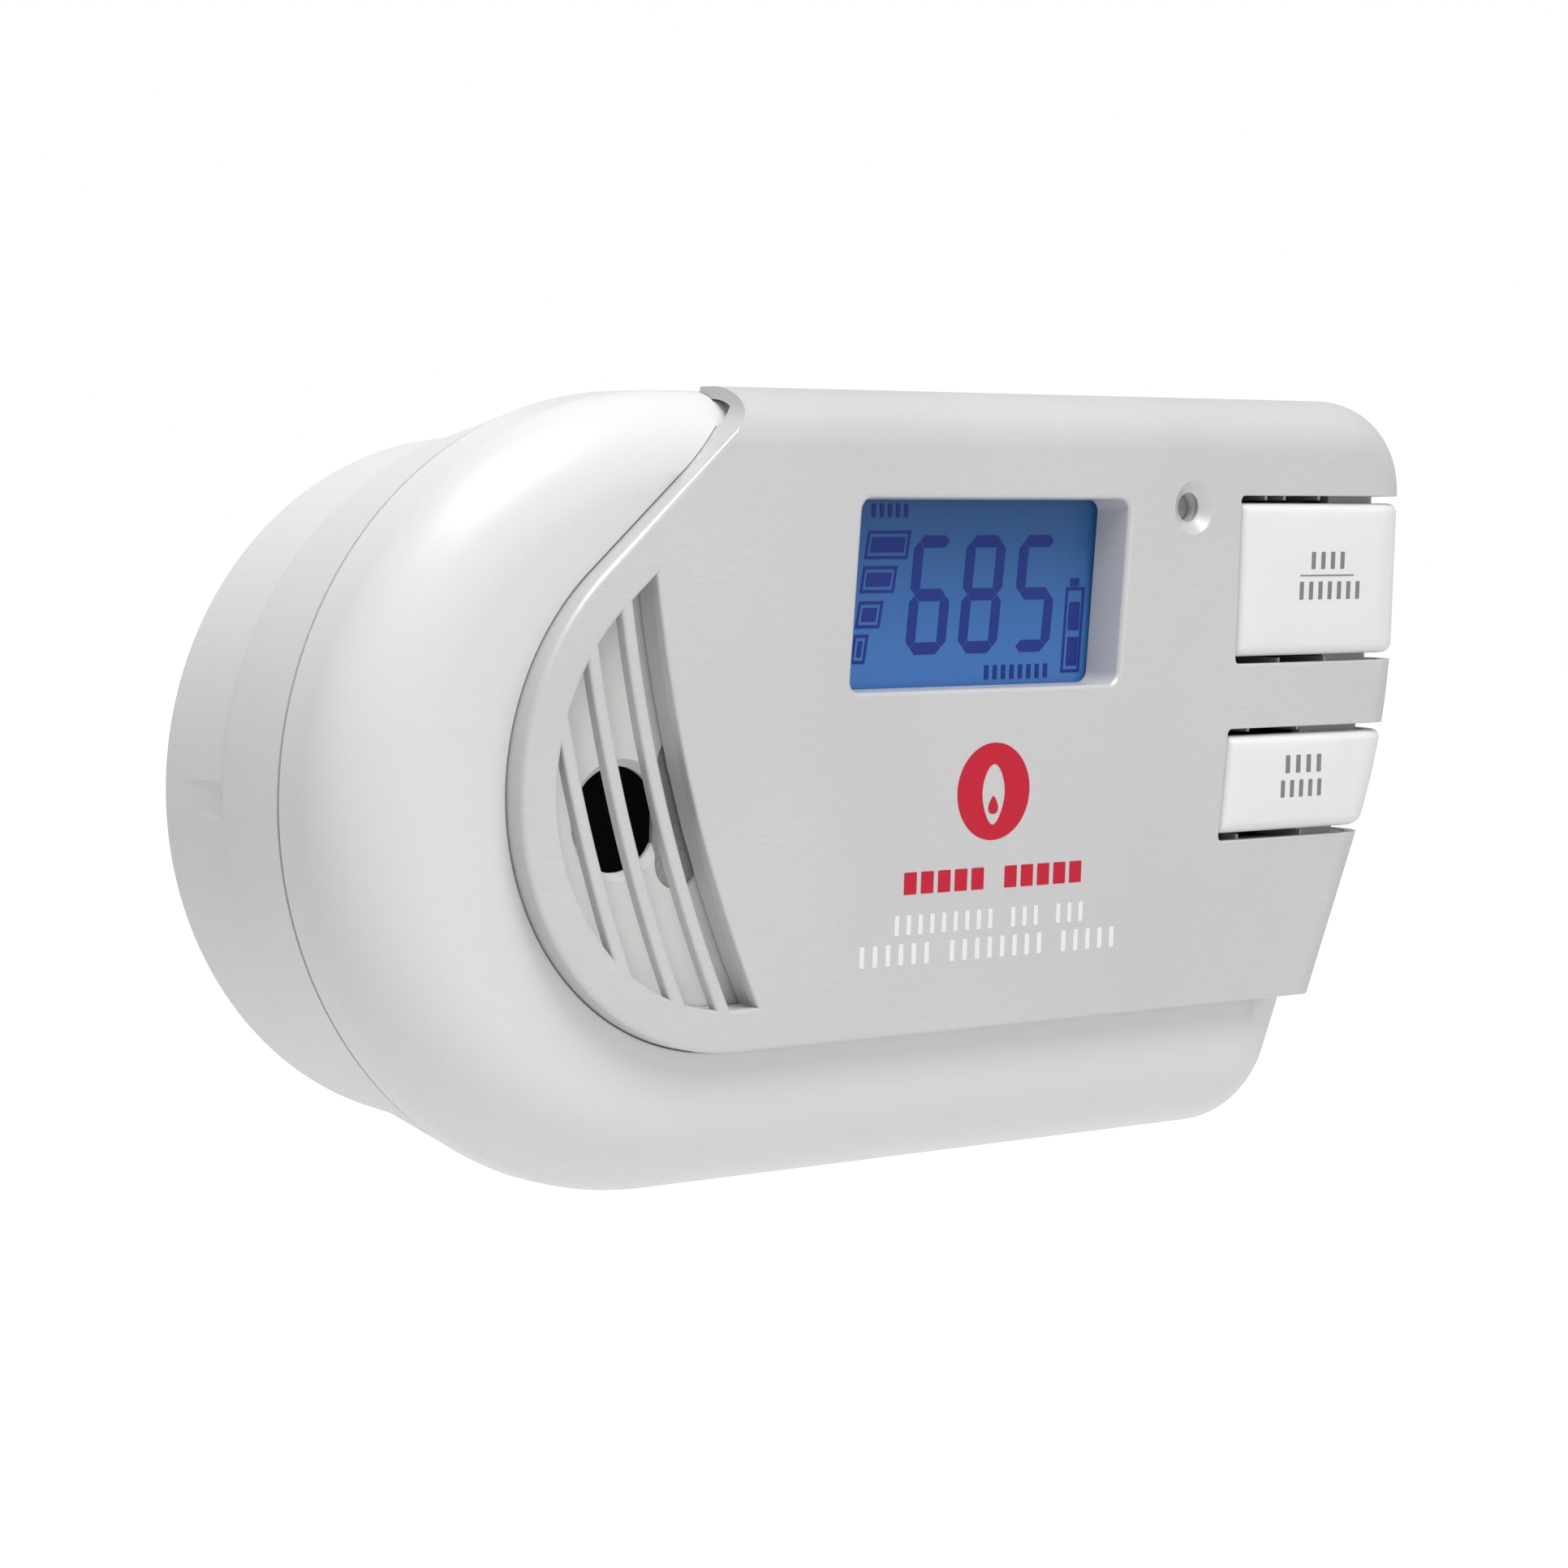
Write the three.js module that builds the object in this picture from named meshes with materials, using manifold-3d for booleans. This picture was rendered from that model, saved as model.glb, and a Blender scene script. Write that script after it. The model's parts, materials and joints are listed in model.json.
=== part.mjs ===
// A plug-in carbon monoxide detector: millimetres, +Z up, the face towards -Y, the wall side towards +Y.
// The origin is on the flat back of the rear case, which rests against the wall.
import * as THREE from "three";
import Module from "manifold-3d";
import { mergeVertices } from "three/addons/utils/BufferGeometryUtils.js";

const wasm = await Module();
wasm.setup();

// Overall sizes.
const DEPTH = 54; // back face to the face plate's front
const HALF_HEIGHT = 50.8; // of the front shell
const LEFT_X = -38.5; // centre of the round left end
const LEFT_REACH = 51.9; // from that centre to the leftmost point
const RIGHT_X = 90.8; // upright part of the right end
const FLANK_Z = 4; // height where the right end turns inwards
const FLANK_TURN = THREE.MathUtils.degToRad(21.5);
const FLANK_RADIUS = 80;
const TOP_CORNER = 12.6;
const BOTTOM_CORNER = 14;
const LEAN = 0.045; // how far the face leans back, in mm of depth for each mm of height
const LEAN_Z = 40; // height at which the leaning face keeps its depth

// Depths, as Y of the planes from front to back.
const PLATE_Y = -DEPTH;
const SHELL_Y = PLATE_Y + 3.1;
const SPLIT_Y = -34;
const STEP_Y = -16.2;
const GAP = 0.3; // clearance kept between neighbouring pieces
const REACH = 150; // how far cutting bodies run past the part
const GROOVE = 0.8; // open joint line between front shell and rear case

// Walls and edge roundings: [inwards, along the depth].
const SHELL_WALL = 2.4;
const SHELL_ROUND = [12, 10];
const PLATE_ROUND = [7.5, 9];
const PLATE_WALL = 1.6;
const PLATE_PROUD = 0.5;
const PLATE_END_Y = -42.6;
const PLATE_RIM = 1.4; // wall standing back from the plate's left and lower edges
const PLATE_RIM_Y = PLATE_Y + 5;

// Rear case: how far its outline stands in from the front shell's.
const REAR_IN_FRONT = 0.5;
const REAR_IN_STEP = 3.7;
const REAR_IN_SECOND = 4.3;
const REAR_IN_BACK = 5.4;
const REAR_WALL = 2.4;
const LIP = 2.6; // how far the rear case reaches into the front shell

// Face plate outline: an arc, a slanted line and a straight lower edge.
const PLATE_ARC = { x: -32.5, z: 2, r: 34.6 };
const PLATE_SLANT = THREE.MathUtils.degToRad(41);
const PLATE_TOP_X = -32.2; // where the slanted edge turns up over the top
const PLATE_TURN_RADIUS = 5;

// Sound and gas grille.
const GRILLE_EDGE = 5.5; // plate left between the grille and the plate's edge
const SLAT_CENTRE = { x: 126.4, z: 54.6 };
const SLOT_RADIUS = 175.6; // right edge of the last slot
const SLOT_PITCH = 5.97;
const SLAT_WIDTH = 1.9;
const SLOTS = 4;
const BAFFLE_Y = -48.2;
const BAFFLE_THICK = 2;
const BAFFLE_RIGHT = -26;
const FILTER_THICK = 1.6;
const HORN = { x: -48, z: -2.7, r: 7 };
const OBLONG = { x: -38.2, z: -2.1, w: 7.2, h: 19.4 };

// Display window, leaning to the right at the top.
const WINDOW = { left: -14.8, right: 33.2, top: 37.3, bottom: 12.4, lean: 0.052 };
const WINDOW_DEPTH = 5.4;
const WINDOW_DRAFT = 1.3;
const WINDOW_CORNER = 1.6;
const TUB_WALL = 1.2; // wall of the face plate's recess around the window
const DISPLAY = { x: 9.4, z: 25, w: 54, h: 30, thick: 2.2, guide: 2.4, rim: 2 };

// Indicator hole.
const LAMP = { x: 45.6, z: 36.2, r: 2, rim: 3.7 };

// The two push buttons, and the slots they stand in.
const TEST = { name: "test", left: 55.4, lean: 0, top: 36.8, bottom: 15.6, stemX: 68 };
const PEAK = { name: "peak", left: 53.9, lean: 0.08, top: 4.6, bottom: -8.9, stemX: 64 };
const BUTTONS = [TEST, PEAK];
const BUTTON_GAP = 1; // above and below a button
const BUTTON_SIDE_GAP = 0.45;
const BUTTON_SKIN = 2.4;
const BUTTON_TRAVEL = 0.8;
const BUTTON_END_Y = -45.5;
const BUTTON_BACK_Y = BUTTON_END_Y + BUTTON_TRAVEL + 1;
const BUTTON_WALL = 1.5; // white wall behind a button at the right end
const BUTTON_RUN = 0.4; // spare room behind a button that is pressed home
const STEM_RADIUS = 2.2;
const SWITCH = { half: 3, height: 3.5, plunger: 1.75 };

// Circuit boards.
const BOARD_Y = -38;
const BOARD_THICK = 1.6;
const SENSOR_BOARD_Y = -31.5;
const POWER_BOARD_Y = -28;
const PLUNGER_TIP_Y = BOARD_Y - 5;
const BOARD_EDGE = [[-18, -36], [47, -36], [72.5, -2], [72.5, 28], [60, 42], [-18, 42]];
const POWER_BOARD_EDGE = [[-16, -30], [44, -30], [66, -4], [70, 24], [70, 32], [-16, 32]];
const SENSOR_BOARD_EDGE = { left: -64, right: -24, half: 34 };

// What the boards carry: left, right, bottom and top of boxes, or centre and radius of cans.
const CHIP = { left: 2, right: 14, bottom: -16, top: -4, height: 1.8 };
const LINK = { left: -9, right: 11, bottom: -24, top: -20 };
const CO_CELL = { x: -35.5, z: -24, r: 8.2, height: 9.8 };
const GAS_CELL = { x: -31, z: 15, r: 4.7, baseR: 5.6, height: 9 };
const HORN_CUP = { r: 15, wall: 2, neckWall: 1.8, frontY: -39.5, chamberY: -38 };
const PIEZO = { r: 12.6, y: -34.6, thick: 0.6, seatWall: 2 };
const CORE = { left: 45.5, right: 67.5, bottom: 0, top: 28, depth: 17, limb: 3.5, yoke: 5 };
const CAPACITORS = [{ x: 6, z: 18, r: 5, height: 16 }, { x: 6, z: 4, r: 4, height: 12 }];
const VARISTOR = { x: 8, z: -12, r: 4.6, height: 4 };
const FUSE = { left: 2, right: 14, bottom: -25, top: -20, height: 5 };

// Battery bay, its door and the finger recess at its left end.
const BATTERY = { x: -50.6, w: 48.5, h: 26.5, d: 17.5, y: -11.6, snap: 2.4 };
const SNAP_PITCH = 12.7;
const BAY = { left: -77, right: -23.5, half: 14.4, front: -22 };
const BAY_WALL = 1.4;
const DOOR_THICK = 1.8;
const DOOR_HINGE_X = -21.4;
const HINGE_RADIUS = 1.3;
const RECESS_HALF = 2.6;
const RECESS_X = -85.3;

// Plug.
const PLUG = { x: 30, z: 0, w: 24, h: 30, front: -12, wall: 2 };
const BLADE_PITCH = 12.7;
const BLADE_LENGTH = 17.5;
const BLADE_THICK = 1.5;
const BLADE_WIDTHS = [6.35, 7.9];
const BLADE_ROOT_Y = -20;
const BLADE_NOSE = 1.5; // length of the narrower tip
const LABEL = { left: 47, right: 73, bottom: -8, top: 26, sink: 0.6 };

// Screws and the posts they hold to.
const SCREW_POST_Y = -44;
const SCREW_SEAT_Y = -8;
const SCREW_HEAD = 1.8;
const CASE_SCREW = { head: 2.7, shank: 1, tip: -40.5, bore: 1.8, well: 3, post: 3.6 };
const BOARD_SCREW = { head: 2.4, shank: 0.9, tip: -44, post: 2.6 };
const CASE_SCREWS = [[-69, 22], [-69, -22], [77.5, 33], [57, -32]];
const BOARD_SCREWS = [[-13, -26], [-13, 2], [46, -26], [68, 9.2]];

const WHITE = { color: 0xf0f0ee, roughness: 0.42, metalness: 0 };
const REAR_WHITE = { color: 0xe9e9e7, roughness: 0.5, metalness: 0 };
const SILVER = { color: 0xd4d5d6, roughness: 0.4, metalness: 0.35 };
const BLACK = { color: 0x0c0c0d, roughness: 0.6, metalness: 0 };
const GREY = { color: 0x9b9993, roughness: 0.8, metalness: 0 };
const BLUE = { color: 0x3f74aa, roughness: 0.2, metalness: 0 };
const GREEN = { color: 0x1f6b3a, roughness: 0.5, metalness: 0 };
const BRASS = { color: 0xc8a24a, roughness: 0.3, metalness: 1 };
const STEEL = { color: 0xb9bcc0, roughness: 0.3, metalness: 1 };
const COPPER = { color: 0xb0703c, roughness: 0.4, metalness: 0.8 };
const CLEAR = { color: 0xdfe5e8, roughness: 0.1, metalness: 0 };
const PAPER = { color: 0xf4f3ee, roughness: 0.8, metalness: 0 };

const part = new THREE.Group();

// ---- joining and cutting ----

function solid(geometry) {
  const bare = geometry.index ? geometry.toNonIndexed() : geometry.clone();
  bare.deleteAttribute("normal");
  bare.deleteAttribute("uv");
  const merged = mergeVertices(bare, 1e-4);
  return new wasm.Manifold(
    new wasm.Mesh({
      numProp: 3,
      vertProperties: new Float32Array(merged.attributes.position.array),
      triVerts: new Uint32Array(merged.index.array),
    }),
  );
}

function geometryOf(body) {
  const mesh = body.getMesh();
  const geometry = new THREE.BufferGeometry();
  geometry.setAttribute("position", new THREE.BufferAttribute(mesh.vertProperties, 3));
  geometry.setIndex(new THREE.BufferAttribute(mesh.triVerts, 1));
  geometry.computeVertexNormals();
  return geometry;
}

function union(...bodies) {
  return bodies.reduce((all, body) => all.add(body));
}

function addPiece(name, body, look) {
  const mesh = new THREE.Mesh(geometryOf(body), new THREE.MeshStandardMaterial(look));
  mesh.name = name;
  part.add(mesh);
  return mesh;
}

// ---- basic bodies ----

function block(x0, x1, y0, y1, z0, z1) {
  const geometry = new THREE.BoxGeometry(x1 - x0, y1 - y0, z1 - z0);
  geometry.translate((x0 + x1) / 2, (y0 + y1) / 2, (z0 + z1) / 2);
  return solid(geometry);
}

// A box from its front view { left, right, bottom, top }, grown by `grow`, between two depths.
function plinth(view, y0, y1, grow = 0) {
  return block(view.left - grow, view.right + grow, y0, y1, view.bottom - grow, view.top + grow);
}

// A cylinder or cone along Y, from the plane y0 back to y1.
function post(x, z, r0, y0, y1, r1 = r0, segments = 16) {
  const geometry = new THREE.CylinderGeometry(r1, r0, y1 - y0, segments);
  geometry.translate(x, (y0 + y1) / 2, z);
  return solid(geometry);
}

// A flat outline (drawn with X across and Z up) extruded from y0 back to y1, with a rounded edge
// [inwards, along the depth] at both ends.
function slab(shape, y0, y1, round = null, roundSteps = 6) {
  const options = { depth: y1 - y0, bevelEnabled: false, curveSegments: 24 };
  if (round) {
    options.depth = y1 - y0 - 2 * round[1];
    options.bevelEnabled = true;
    options.bevelSize = round[0];
    options.bevelOffset = -round[0];
    options.bevelThickness = round[1];
    options.bevelSegments = roundSteps;
  }
  const geometry = new THREE.ExtrudeGeometry(shape, options);
  geometry.rotateX(Math.PI / 2);
  geometry.translate(0, round ? y1 - round[1] : y1, 0);
  return solid(geometry);
}

// Leans a body back, more towards its lower end, as the face does.
function lean(body) {
  const shear = new THREE.Matrix4().set(1, 0, 0, 0, 0, 1, -LEAN, LEAN * LEAN_Z, 0, 0, 1, 0, 0, 0, 0, 1);
  return solid(geometryOf(body).applyMatrix4(shear));
}

function leanY(y, z) {
  return y + LEAN * (LEAN_Z - z);
}

// ---- outlines ----

function polygon(points) {
  return new THREE.Shape(points.map((p) => new THREE.Vector2(p[0], p[1])));
}

function arcPoints(cx, cz, r, from, to, steps) {
  const points = [];
  for (let i = 0; i <= steps; i += 1) {
    const a = from + ((to - from) * i) / steps;
    points.push([cx + r * Math.cos(a), cz + r * Math.sin(a)]);
  }
  return points;
}

// The front view of the whole body, drawn anticlockwise and moved outwards by `grow`.
function bodyOutline(grow, leftSteps = 26) {
  const half = HALF_HEIGHT + grow;
  const right = RIGHT_X + grow;
  const quarter = Math.PI / 2;
  const turn = FLANK_TURN;
  const lowX = flankX(-HALF_HEIGHT);
  const lowTangent = BOTTOM_CORNER * Math.tan((quarter - turn) / 2);
  const flankTangent = FLANK_RADIUS * Math.tan(turn / 2);
  const points = [];
  for (const [c, s] of arcPoints(0, 0, 1, quarter, 3 * quarter, leftSteps)) {
    points.push([LEFT_X + (LEFT_REACH + grow) * c, half * s]);
  }
  points.push(
    ...arcPoints(
      lowX - lowTangent,
      -HALF_HEIGHT + BOTTOM_CORNER,
      BOTTOM_CORNER + grow,
      -quarter,
      -turn,
      6,
    ),
  );
  points.push(
    ...arcPoints(
      RIGHT_X - FLANK_RADIUS,
      FLANK_Z + flankTangent,
      FLANK_RADIUS + grow,
      -turn,
      0,
      4,
    ),
  );
  points.push(
    ...arcPoints(right - TOP_CORNER - grow, half - TOP_CORNER - grow, TOP_CORNER + grow, 0, quarter, 6),
  );
  return polygon(points);
}

// X of the straight slanted flank, run on to the height z.
function flankX(z) {
  return RIGHT_X - Math.tan(FLANK_TURN) * (FLANK_Z - z);
}

// The face plate's outline, moved outwards by `grow` at the left and below; it runs past the body
// at the top and at the right, where the body itself ends it.
function plateOutline(grow) {
  const r = PLATE_ARC.r + grow;
  const beyond = 140;
  const nx = -Math.sin(PLATE_SLANT);
  const nz = Math.cos(PLATE_SLANT);
  const topX = PLATE_TOP_X - grow;
  const startX = PLATE_ARC.x + r * nx;
  const startZ = PLATE_ARC.z + r * nz;
  const turnR = PLATE_TURN_RADIUS + grow;
  const cornerZ = startZ + (topX - startX) * Math.tan(PLATE_SLANT);
  const tangent = turnR * Math.tan((Math.PI / 2 - PLATE_SLANT) / 2);
  const points = [];
  points.push([topX, beyond]);
  points.push(...arcPoints(topX - turnR, cornerZ + tangent, turnR, 0, PLATE_SLANT - Math.PI / 2, 4));
  points.push(...arcPoints(PLATE_ARC.x, PLATE_ARC.z, r, PLATE_SLANT + Math.PI / 2, 1.5 * Math.PI, 20));
  points.push([beyond, PLATE_ARC.z - r]);
  points.push([beyond, beyond]);
  return polygon(points);
}

// The round-ended region the grille's slots lie in.
function grilleOutline() {
  const r = PLATE_ARC.r - GRILLE_EDGE;
  const nx = -Math.sin(PLATE_SLANT);
  const nz = Math.cos(PLATE_SLANT);
  const run = 40;
  const startX = PLATE_ARC.x + r * nx;
  const startZ = PLATE_ARC.z + r * nz;
  const points = [];
  points.push([startX + run * nz, startZ - run * nx]);
  points.push(...arcPoints(PLATE_ARC.x, PLATE_ARC.z, r, PLATE_SLANT + Math.PI / 2, 1.5 * Math.PI, 16));
  points.push([PLATE_ARC.x + run, PLATE_ARC.z - r]);
  return polygon(points);
}

// One curved slot between two radii about the slats' common centre.
function slotOutline(inner, outer) {
  const from = Math.PI + 0.12;
  const to = Math.PI + 0.52;
  const c = SLAT_CENTRE;
  const points = arcPoints(c.x, c.z, outer, from, to, 10);
  points.push(...arcPoints(c.x, c.z, inner, to, from, 10));
  return polygon(points);
}

// A rounded four-sided outline whose sides lean to the right at the top.
function leaningOutline(left, right, bottom, top, slope, corner, grow = 0) {
  const l = left - grow;
  const r = right + grow;
  const b = bottom - grow;
  const t = top + grow;
  const c = corner + grow;
  const q = Math.PI / 2;
  const points = [
    ...arcPoints(r - c, t - c, c, 0, q, 3),
    ...arcPoints(l + c, t - c, c, q, 2 * q, 3),
    ...arcPoints(l + c, b + c, c, 2 * q, 3 * q, 3),
    ...arcPoints(r - c, b + c, c, 3 * q, 4 * q, 3),
  ];
  return polygon(points.map(([x, z]) => [x + slope * (z - (top + bottom) / 2), z]));
}

function boxOutline(left, right, bottom, top) {
  return polygon([
    [left, bottom],
    [right, bottom],
    [right, top],
    [left, top],
  ]);
}

// A button's outline, grown on the left and above and below; it runs past the body at the right.
function buttonOutline(button, side, upright) {
  const beyond = 120;
  const slope = button.lean;
  const top = button.top + upright;
  const bottom = button.bottom - upright;
  const mid = (button.top + button.bottom) / 2;
  return polygon([
    [button.left - side + slope * (bottom - mid), bottom],
    [beyond, bottom],
    [beyond, top],
    [button.left - side + slope * (top - mid), top],
  ]);
}

// ---- the outer skins, each a full solid ----

function plateSkin(inwards) {
  const round = PLATE_ROUND.map((size) => size - inwards);
  return slab(bodyOutline(PLATE_PROUD - inwards), PLATE_Y + inwards, 20, round, 5);
}

function shellSkin(inwards, steps) {
  const round = SHELL_ROUND.map((size) => size - inwards);
  return slab(bodyOutline(-inwards), SHELL_Y + inwards, 20, round, steps);
}

function frontOf(y) {
  return block(-REACH, REACH, -REACH, y, -REACH, REACH);
}

// ---- front pieces ----

function windowCut(grow) {
  const w = WINDOW;
  const outline = leaningOutline(w.left, w.right, w.bottom, w.top, w.lean, WINDOW_CORNER, grow);
  const run = WINDOW_DEPTH + 1;
  const back = PLATE_Y + WINDOW_DEPTH;
  const whole = slab(outline, back - 3 * run, back + 0.4, [WINDOW_DRAFT, run], 1);
  return whole.subtract(frontOf(PLATE_Y - 1.5));
}

function facePlate() {
  const outer = plateSkin(0);
  const inside = slab(plateOutline(-PLATE_RIM), -REACH, 0);
  const rim = slab(plateOutline(0), PLATE_Y + 0.8, PLATE_RIM_Y).subtract(inside);
  let plate = outer.subtract(plateSkin(PLATE_WALL)).add(rim.intersect(outer));
  plate = plate.intersect(slab(plateOutline(0), -REACH, PLATE_END_Y));
  const tubDepth = block(-REACH, REACH, PLATE_Y + 0.8, PLATE_Y + WINDOW_DEPTH, -REACH, REACH);
  const tub = windowCut(TUB_WALL).intersect(tubDepth);
  plate = union(plate, tub).subtract(windowCut(0));
  plate = plate.subtract(post(LAMP.x, LAMP.z, LAMP.r, -REACH, PLATE_END_Y));
  plate = plate.subtract(post(LAMP.x, LAMP.z, LAMP.rim + 0.5, PLATE_Y - 0.5, PLATE_Y + 1.2, LAMP.r));
  const grille = slab(grilleOutline(), -REACH, PLATE_END_Y);
  for (let i = 0; i < SLOTS; i += 1) {
    const near = SLOT_RADIUS + i * SLOT_PITCH;
    const slot = slab(slotOutline(near, near + SLOT_PITCH - SLAT_WIDTH), -REACH, PLATE_END_Y);
    plate = plate.subtract(slot.intersect(grille));
  }
  for (const button of BUTTONS) {
    plate = plate.subtract(slab(buttonOutline(button, BUTTON_SIDE_GAP, BUTTON_GAP), -REACH, SPLIT_Y));
  }
  addPiece("face_plate", lean(plate), SILVER);
}

// Everything right of the grille's curved right edge.
function besideGrille() {
  return post(SLAT_CENTRE.x, SLAT_CENTRE.z, SLOT_RADIUS - 1, -REACH, REACH, SLOT_RADIUS - 1, 96);
}

// The white wall that stands behind a button where it wraps round the right end.
function buttonBacking(button) {
  const clear = BUTTON_SKIN + BUTTON_TRAVEL + BUTTON_RUN;
  const footY = BUTTON_BACK_Y + 1.6;
  const wall = plateSkin(clear).subtract(plateSkin(clear + BUTTON_WALL)).intersect(frontOf(footY));
  const foot = slab(bodyOutline(0.4 - SHELL_WALL), BUTTON_BACK_Y - 0.4, footY);
  const footHole = slab(bodyOutline(-clear - 1), -REACH, REACH);
  const left = Math.min(flankX(button.bottom) - 13, button.stemX + 8);
  const region = block(left, REACH, -REACH, footY, button.bottom - 2, button.top + 2);
  return wall.add(foot.subtract(footHole)).intersect(region);
}

function frontShell() {
  const under = plateSkin(PLATE_WALL + GAP);
  const core = under.intersect(slab(plateOutline(-PLATE_RIM - GAP), -REACH, PLATE_END_Y + 1));
  const ledge = slab(plateOutline(GAP + 0.5), PLATE_RIM_Y + GAP, PLATE_END_Y + 1).intersect(under);
  let shell = shellSkin(0, 6).subtract(slab(plateOutline(GAP), -REACH, PLATE_END_Y + GAP));
  shell = union(shell, core, ledge.intersect(shellSkin(0.05, 6)));
  shell = shell.subtract(shellSkin(SHELL_WALL, 4));
  shell = shell.subtract(windowCut(TUB_WALL + GAP));
  shell = shell.subtract(slab(displayOutline(0.6), PLATE_Y + 3, PLATE_END_Y));
  shell = shell.subtract(post(LAMP.x, LAMP.z, LAMP.r, -REACH, PLATE_END_Y));
  shell = shell.subtract(slab(grilleOutline(), -REACH, PLATE_END_Y).subtract(besideGrille()));
  for (const button of BUTTONS) {
    shell = shell.subtract(slab(buttonOutline(button, GAP, GAP), -REACH, BUTTON_BACK_Y));
    shell = shell.add(buttonBacking(button));
  }
  shell = lean(shell).intersect(frontOf(SPLIT_Y - GROOVE));
  const posts = [];
  const caseR = CASE_SCREW.post - 0.2;
  const boardR = BOARD_SCREW.post;
  for (const [x, z] of CASE_SCREWS) {
    posts.push(post(x, z, caseR, SCREW_POST_Y, SPLIT_Y - 2, caseR, 14));
    posts.push(postWeb(x, z));
  }
  for (const [x, z] of BOARD_SCREWS) {
    posts.push(post(x, z, boardR, -REACH, BOARD_Y - GAP, boardR, 12));
  }
  shell = shell.add(union(...posts).intersect(lean(shellSkin(1.5, 4))));
  for (const [x, z] of CASE_SCREWS) shell = shell.subtract(pilotHole(x, z, CASE_SCREW));
  for (const [x, z] of BOARD_SCREWS) shell = shell.subtract(pilotHole(x, z, BOARD_SCREW));
  addPiece("front_shell", shell, WHITE);
}

// The hole a screw holds in, a little longer and wider than its shank.
function pilotHole(x, z, screw) {
  return post(x, z, screw.shank + GAP, screw.tip - 0.7, 0, screw.shank + GAP, 12);
}

// A rib that ties a screw post to the nearest long wall of the shell.
function postWeb(x, z) {
  const outwards = Math.sign(z) * HALF_HEIGHT;
  const [low, high] = [Math.min(z, outwards), Math.max(z, outwards)];
  return block(x - 1, x + 1, SCREW_POST_Y, SPLIT_Y - LIP - 0.9, low, high);
}

function pushButton(button) {
  const skin = plateSkin(0).subtract(plateSkin(BUTTON_SKIN));
  const cap = skin.intersect(slab(buttonOutline(button, 0, 0), -REACH, BUTTON_END_Y));
  const z = (button.top + button.bottom) / 2;
  const stem = post(button.stemX, z, STEM_RADIUS, PLATE_Y - 8, PLUNGER_TIP_Y - GAP);
  const inside = lean(frontOf(PLATE_Y + 1));
  addPiece(button.name + "_button", lean(cap).add(stem.subtract(inside)), WHITE);
}

// ---- display ----

function displayOutline(grow) {
  const d = DISPLAY;
  const w = d.w / 2 + grow;
  const h = d.h / 2 + grow;
  return boxOutline(d.x - w, d.x + w, d.z - h, d.z + h);
}

function display() {
  const d = DISPLAY;
  const glassY = PLATE_Y + WINDOW_DEPTH + 0.7;
  const lightY = glassY + d.thick + GAP;
  const bottom = d.z - d.h / 2;
  const left = d.x - d.w / 2;
  const right = d.x + d.w / 2;
  const flat = frontOf(BOARD_Y - GAP);
  addPiece("lcd_glass", lean(slab(displayOutline(0), glassY, glassY + d.thick)), BLUE);
  const guide = boxOutline(left + 2, right - 2, bottom + 5, bottom + d.h - 2);
  addPiece("lcd_light_guide", lean(slab(guide, lightY, lightY + d.guide)), CLEAR);
  const hollow = slab(displayOutline(0.4 - d.rim), -REACH, 0);
  const ring = slab(displayOutline(d.rim), lightY, BOARD_Y + 3).subtract(hollow);
  addPiece("lcd_frame", lean(ring).intersect(flat), WHITE);
  const strip = block(left + 3, right - 3, lightY, BOARD_Y + 3, bottom + 2, bottom + 4);
  addPiece("contact_strip", lean(strip).intersect(flat), GREY);
}

// ---- boards and what they carry ----

function boardWithHoles(shape, y, holes) {
  let board = slab(shape, y, y + BOARD_THICK);
  const r = BOARD_SCREW.shank + 0.6;
  for (const [x, z] of holes) board = board.subtract(post(x, z, r, -REACH, REACH, r, 12));
  return board;
}

function mainBoard() {
  addPiece("main_board", boardWithHoles(polygon(BOARD_EDGE), BOARD_Y, BOARD_SCREWS), GREEN);
  const front = BOARD_Y - GAP;
  const back = BOARD_Y + BOARD_THICK + GAP;
  addPiece("controller_chip", plinth(CHIP, front - CHIP.height, front), BLACK);
  addPiece("link_header", plinth(LINK, back, POWER_BOARD_Y - GAP), BLACK);
  const ledY = front - 3.5;
  addPiece("status_led", post(LAMP.x, LAMP.z, 2, ledY, front), CLEAR);
  const pipeY = leanY(PLATE_Y + 3.2, LAMP.z);
  addPiece("light_pipe", post(LAMP.x, LAMP.z, LAMP.r - GAP, pipeY, ledY - GAP), CLEAR);
  for (const button of BUTTONS) tactSwitch(button, front);
}

function tactSwitch(button, front) {
  const x = button.stemX;
  const z = (button.top + button.bottom) / 2;
  const { half, height, plunger } = SWITCH;
  const body = block(x - half, x + half, front - height, front, z - half, z + half);
  const bore = post(x, z, plunger + GAP / 2, front - 9, front - 0.8);
  addPiece(button.name + "_switch_body", body.subtract(bore), BLACK);
  addPiece(button.name + "_switch_plunger", post(x, z, plunger, PLUNGER_TIP_Y, front - 1.9), GREY);
}

function sensors() {
  const b = SENSOR_BOARD_EDGE;
  const shape = boxOutline(b.left, b.right, -b.half, b.half);
  addPiece("sensor_board", slab(shape, SENSOR_BOARD_Y, SENSOR_BOARD_Y + BOARD_THICK), GREEN);
  const front = SENSOR_BOARD_Y - GAP;
  const co = CO_CELL;
  addPiece("co_sensor", post(co.x, co.z, co.r, front - co.height, front, co.r, 24), STEEL);
  const gas = GAS_CELL;
  const flange = post(gas.x, gas.z, gas.baseR, front - 2, front, gas.baseR, 20);
  const can = post(gas.x, gas.z, gas.r, front - gas.height, front - 1.5, gas.r, 20);
  addPiece("gas_sensor", flange.add(can), STEEL);
  hornCup(front);
}

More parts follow.
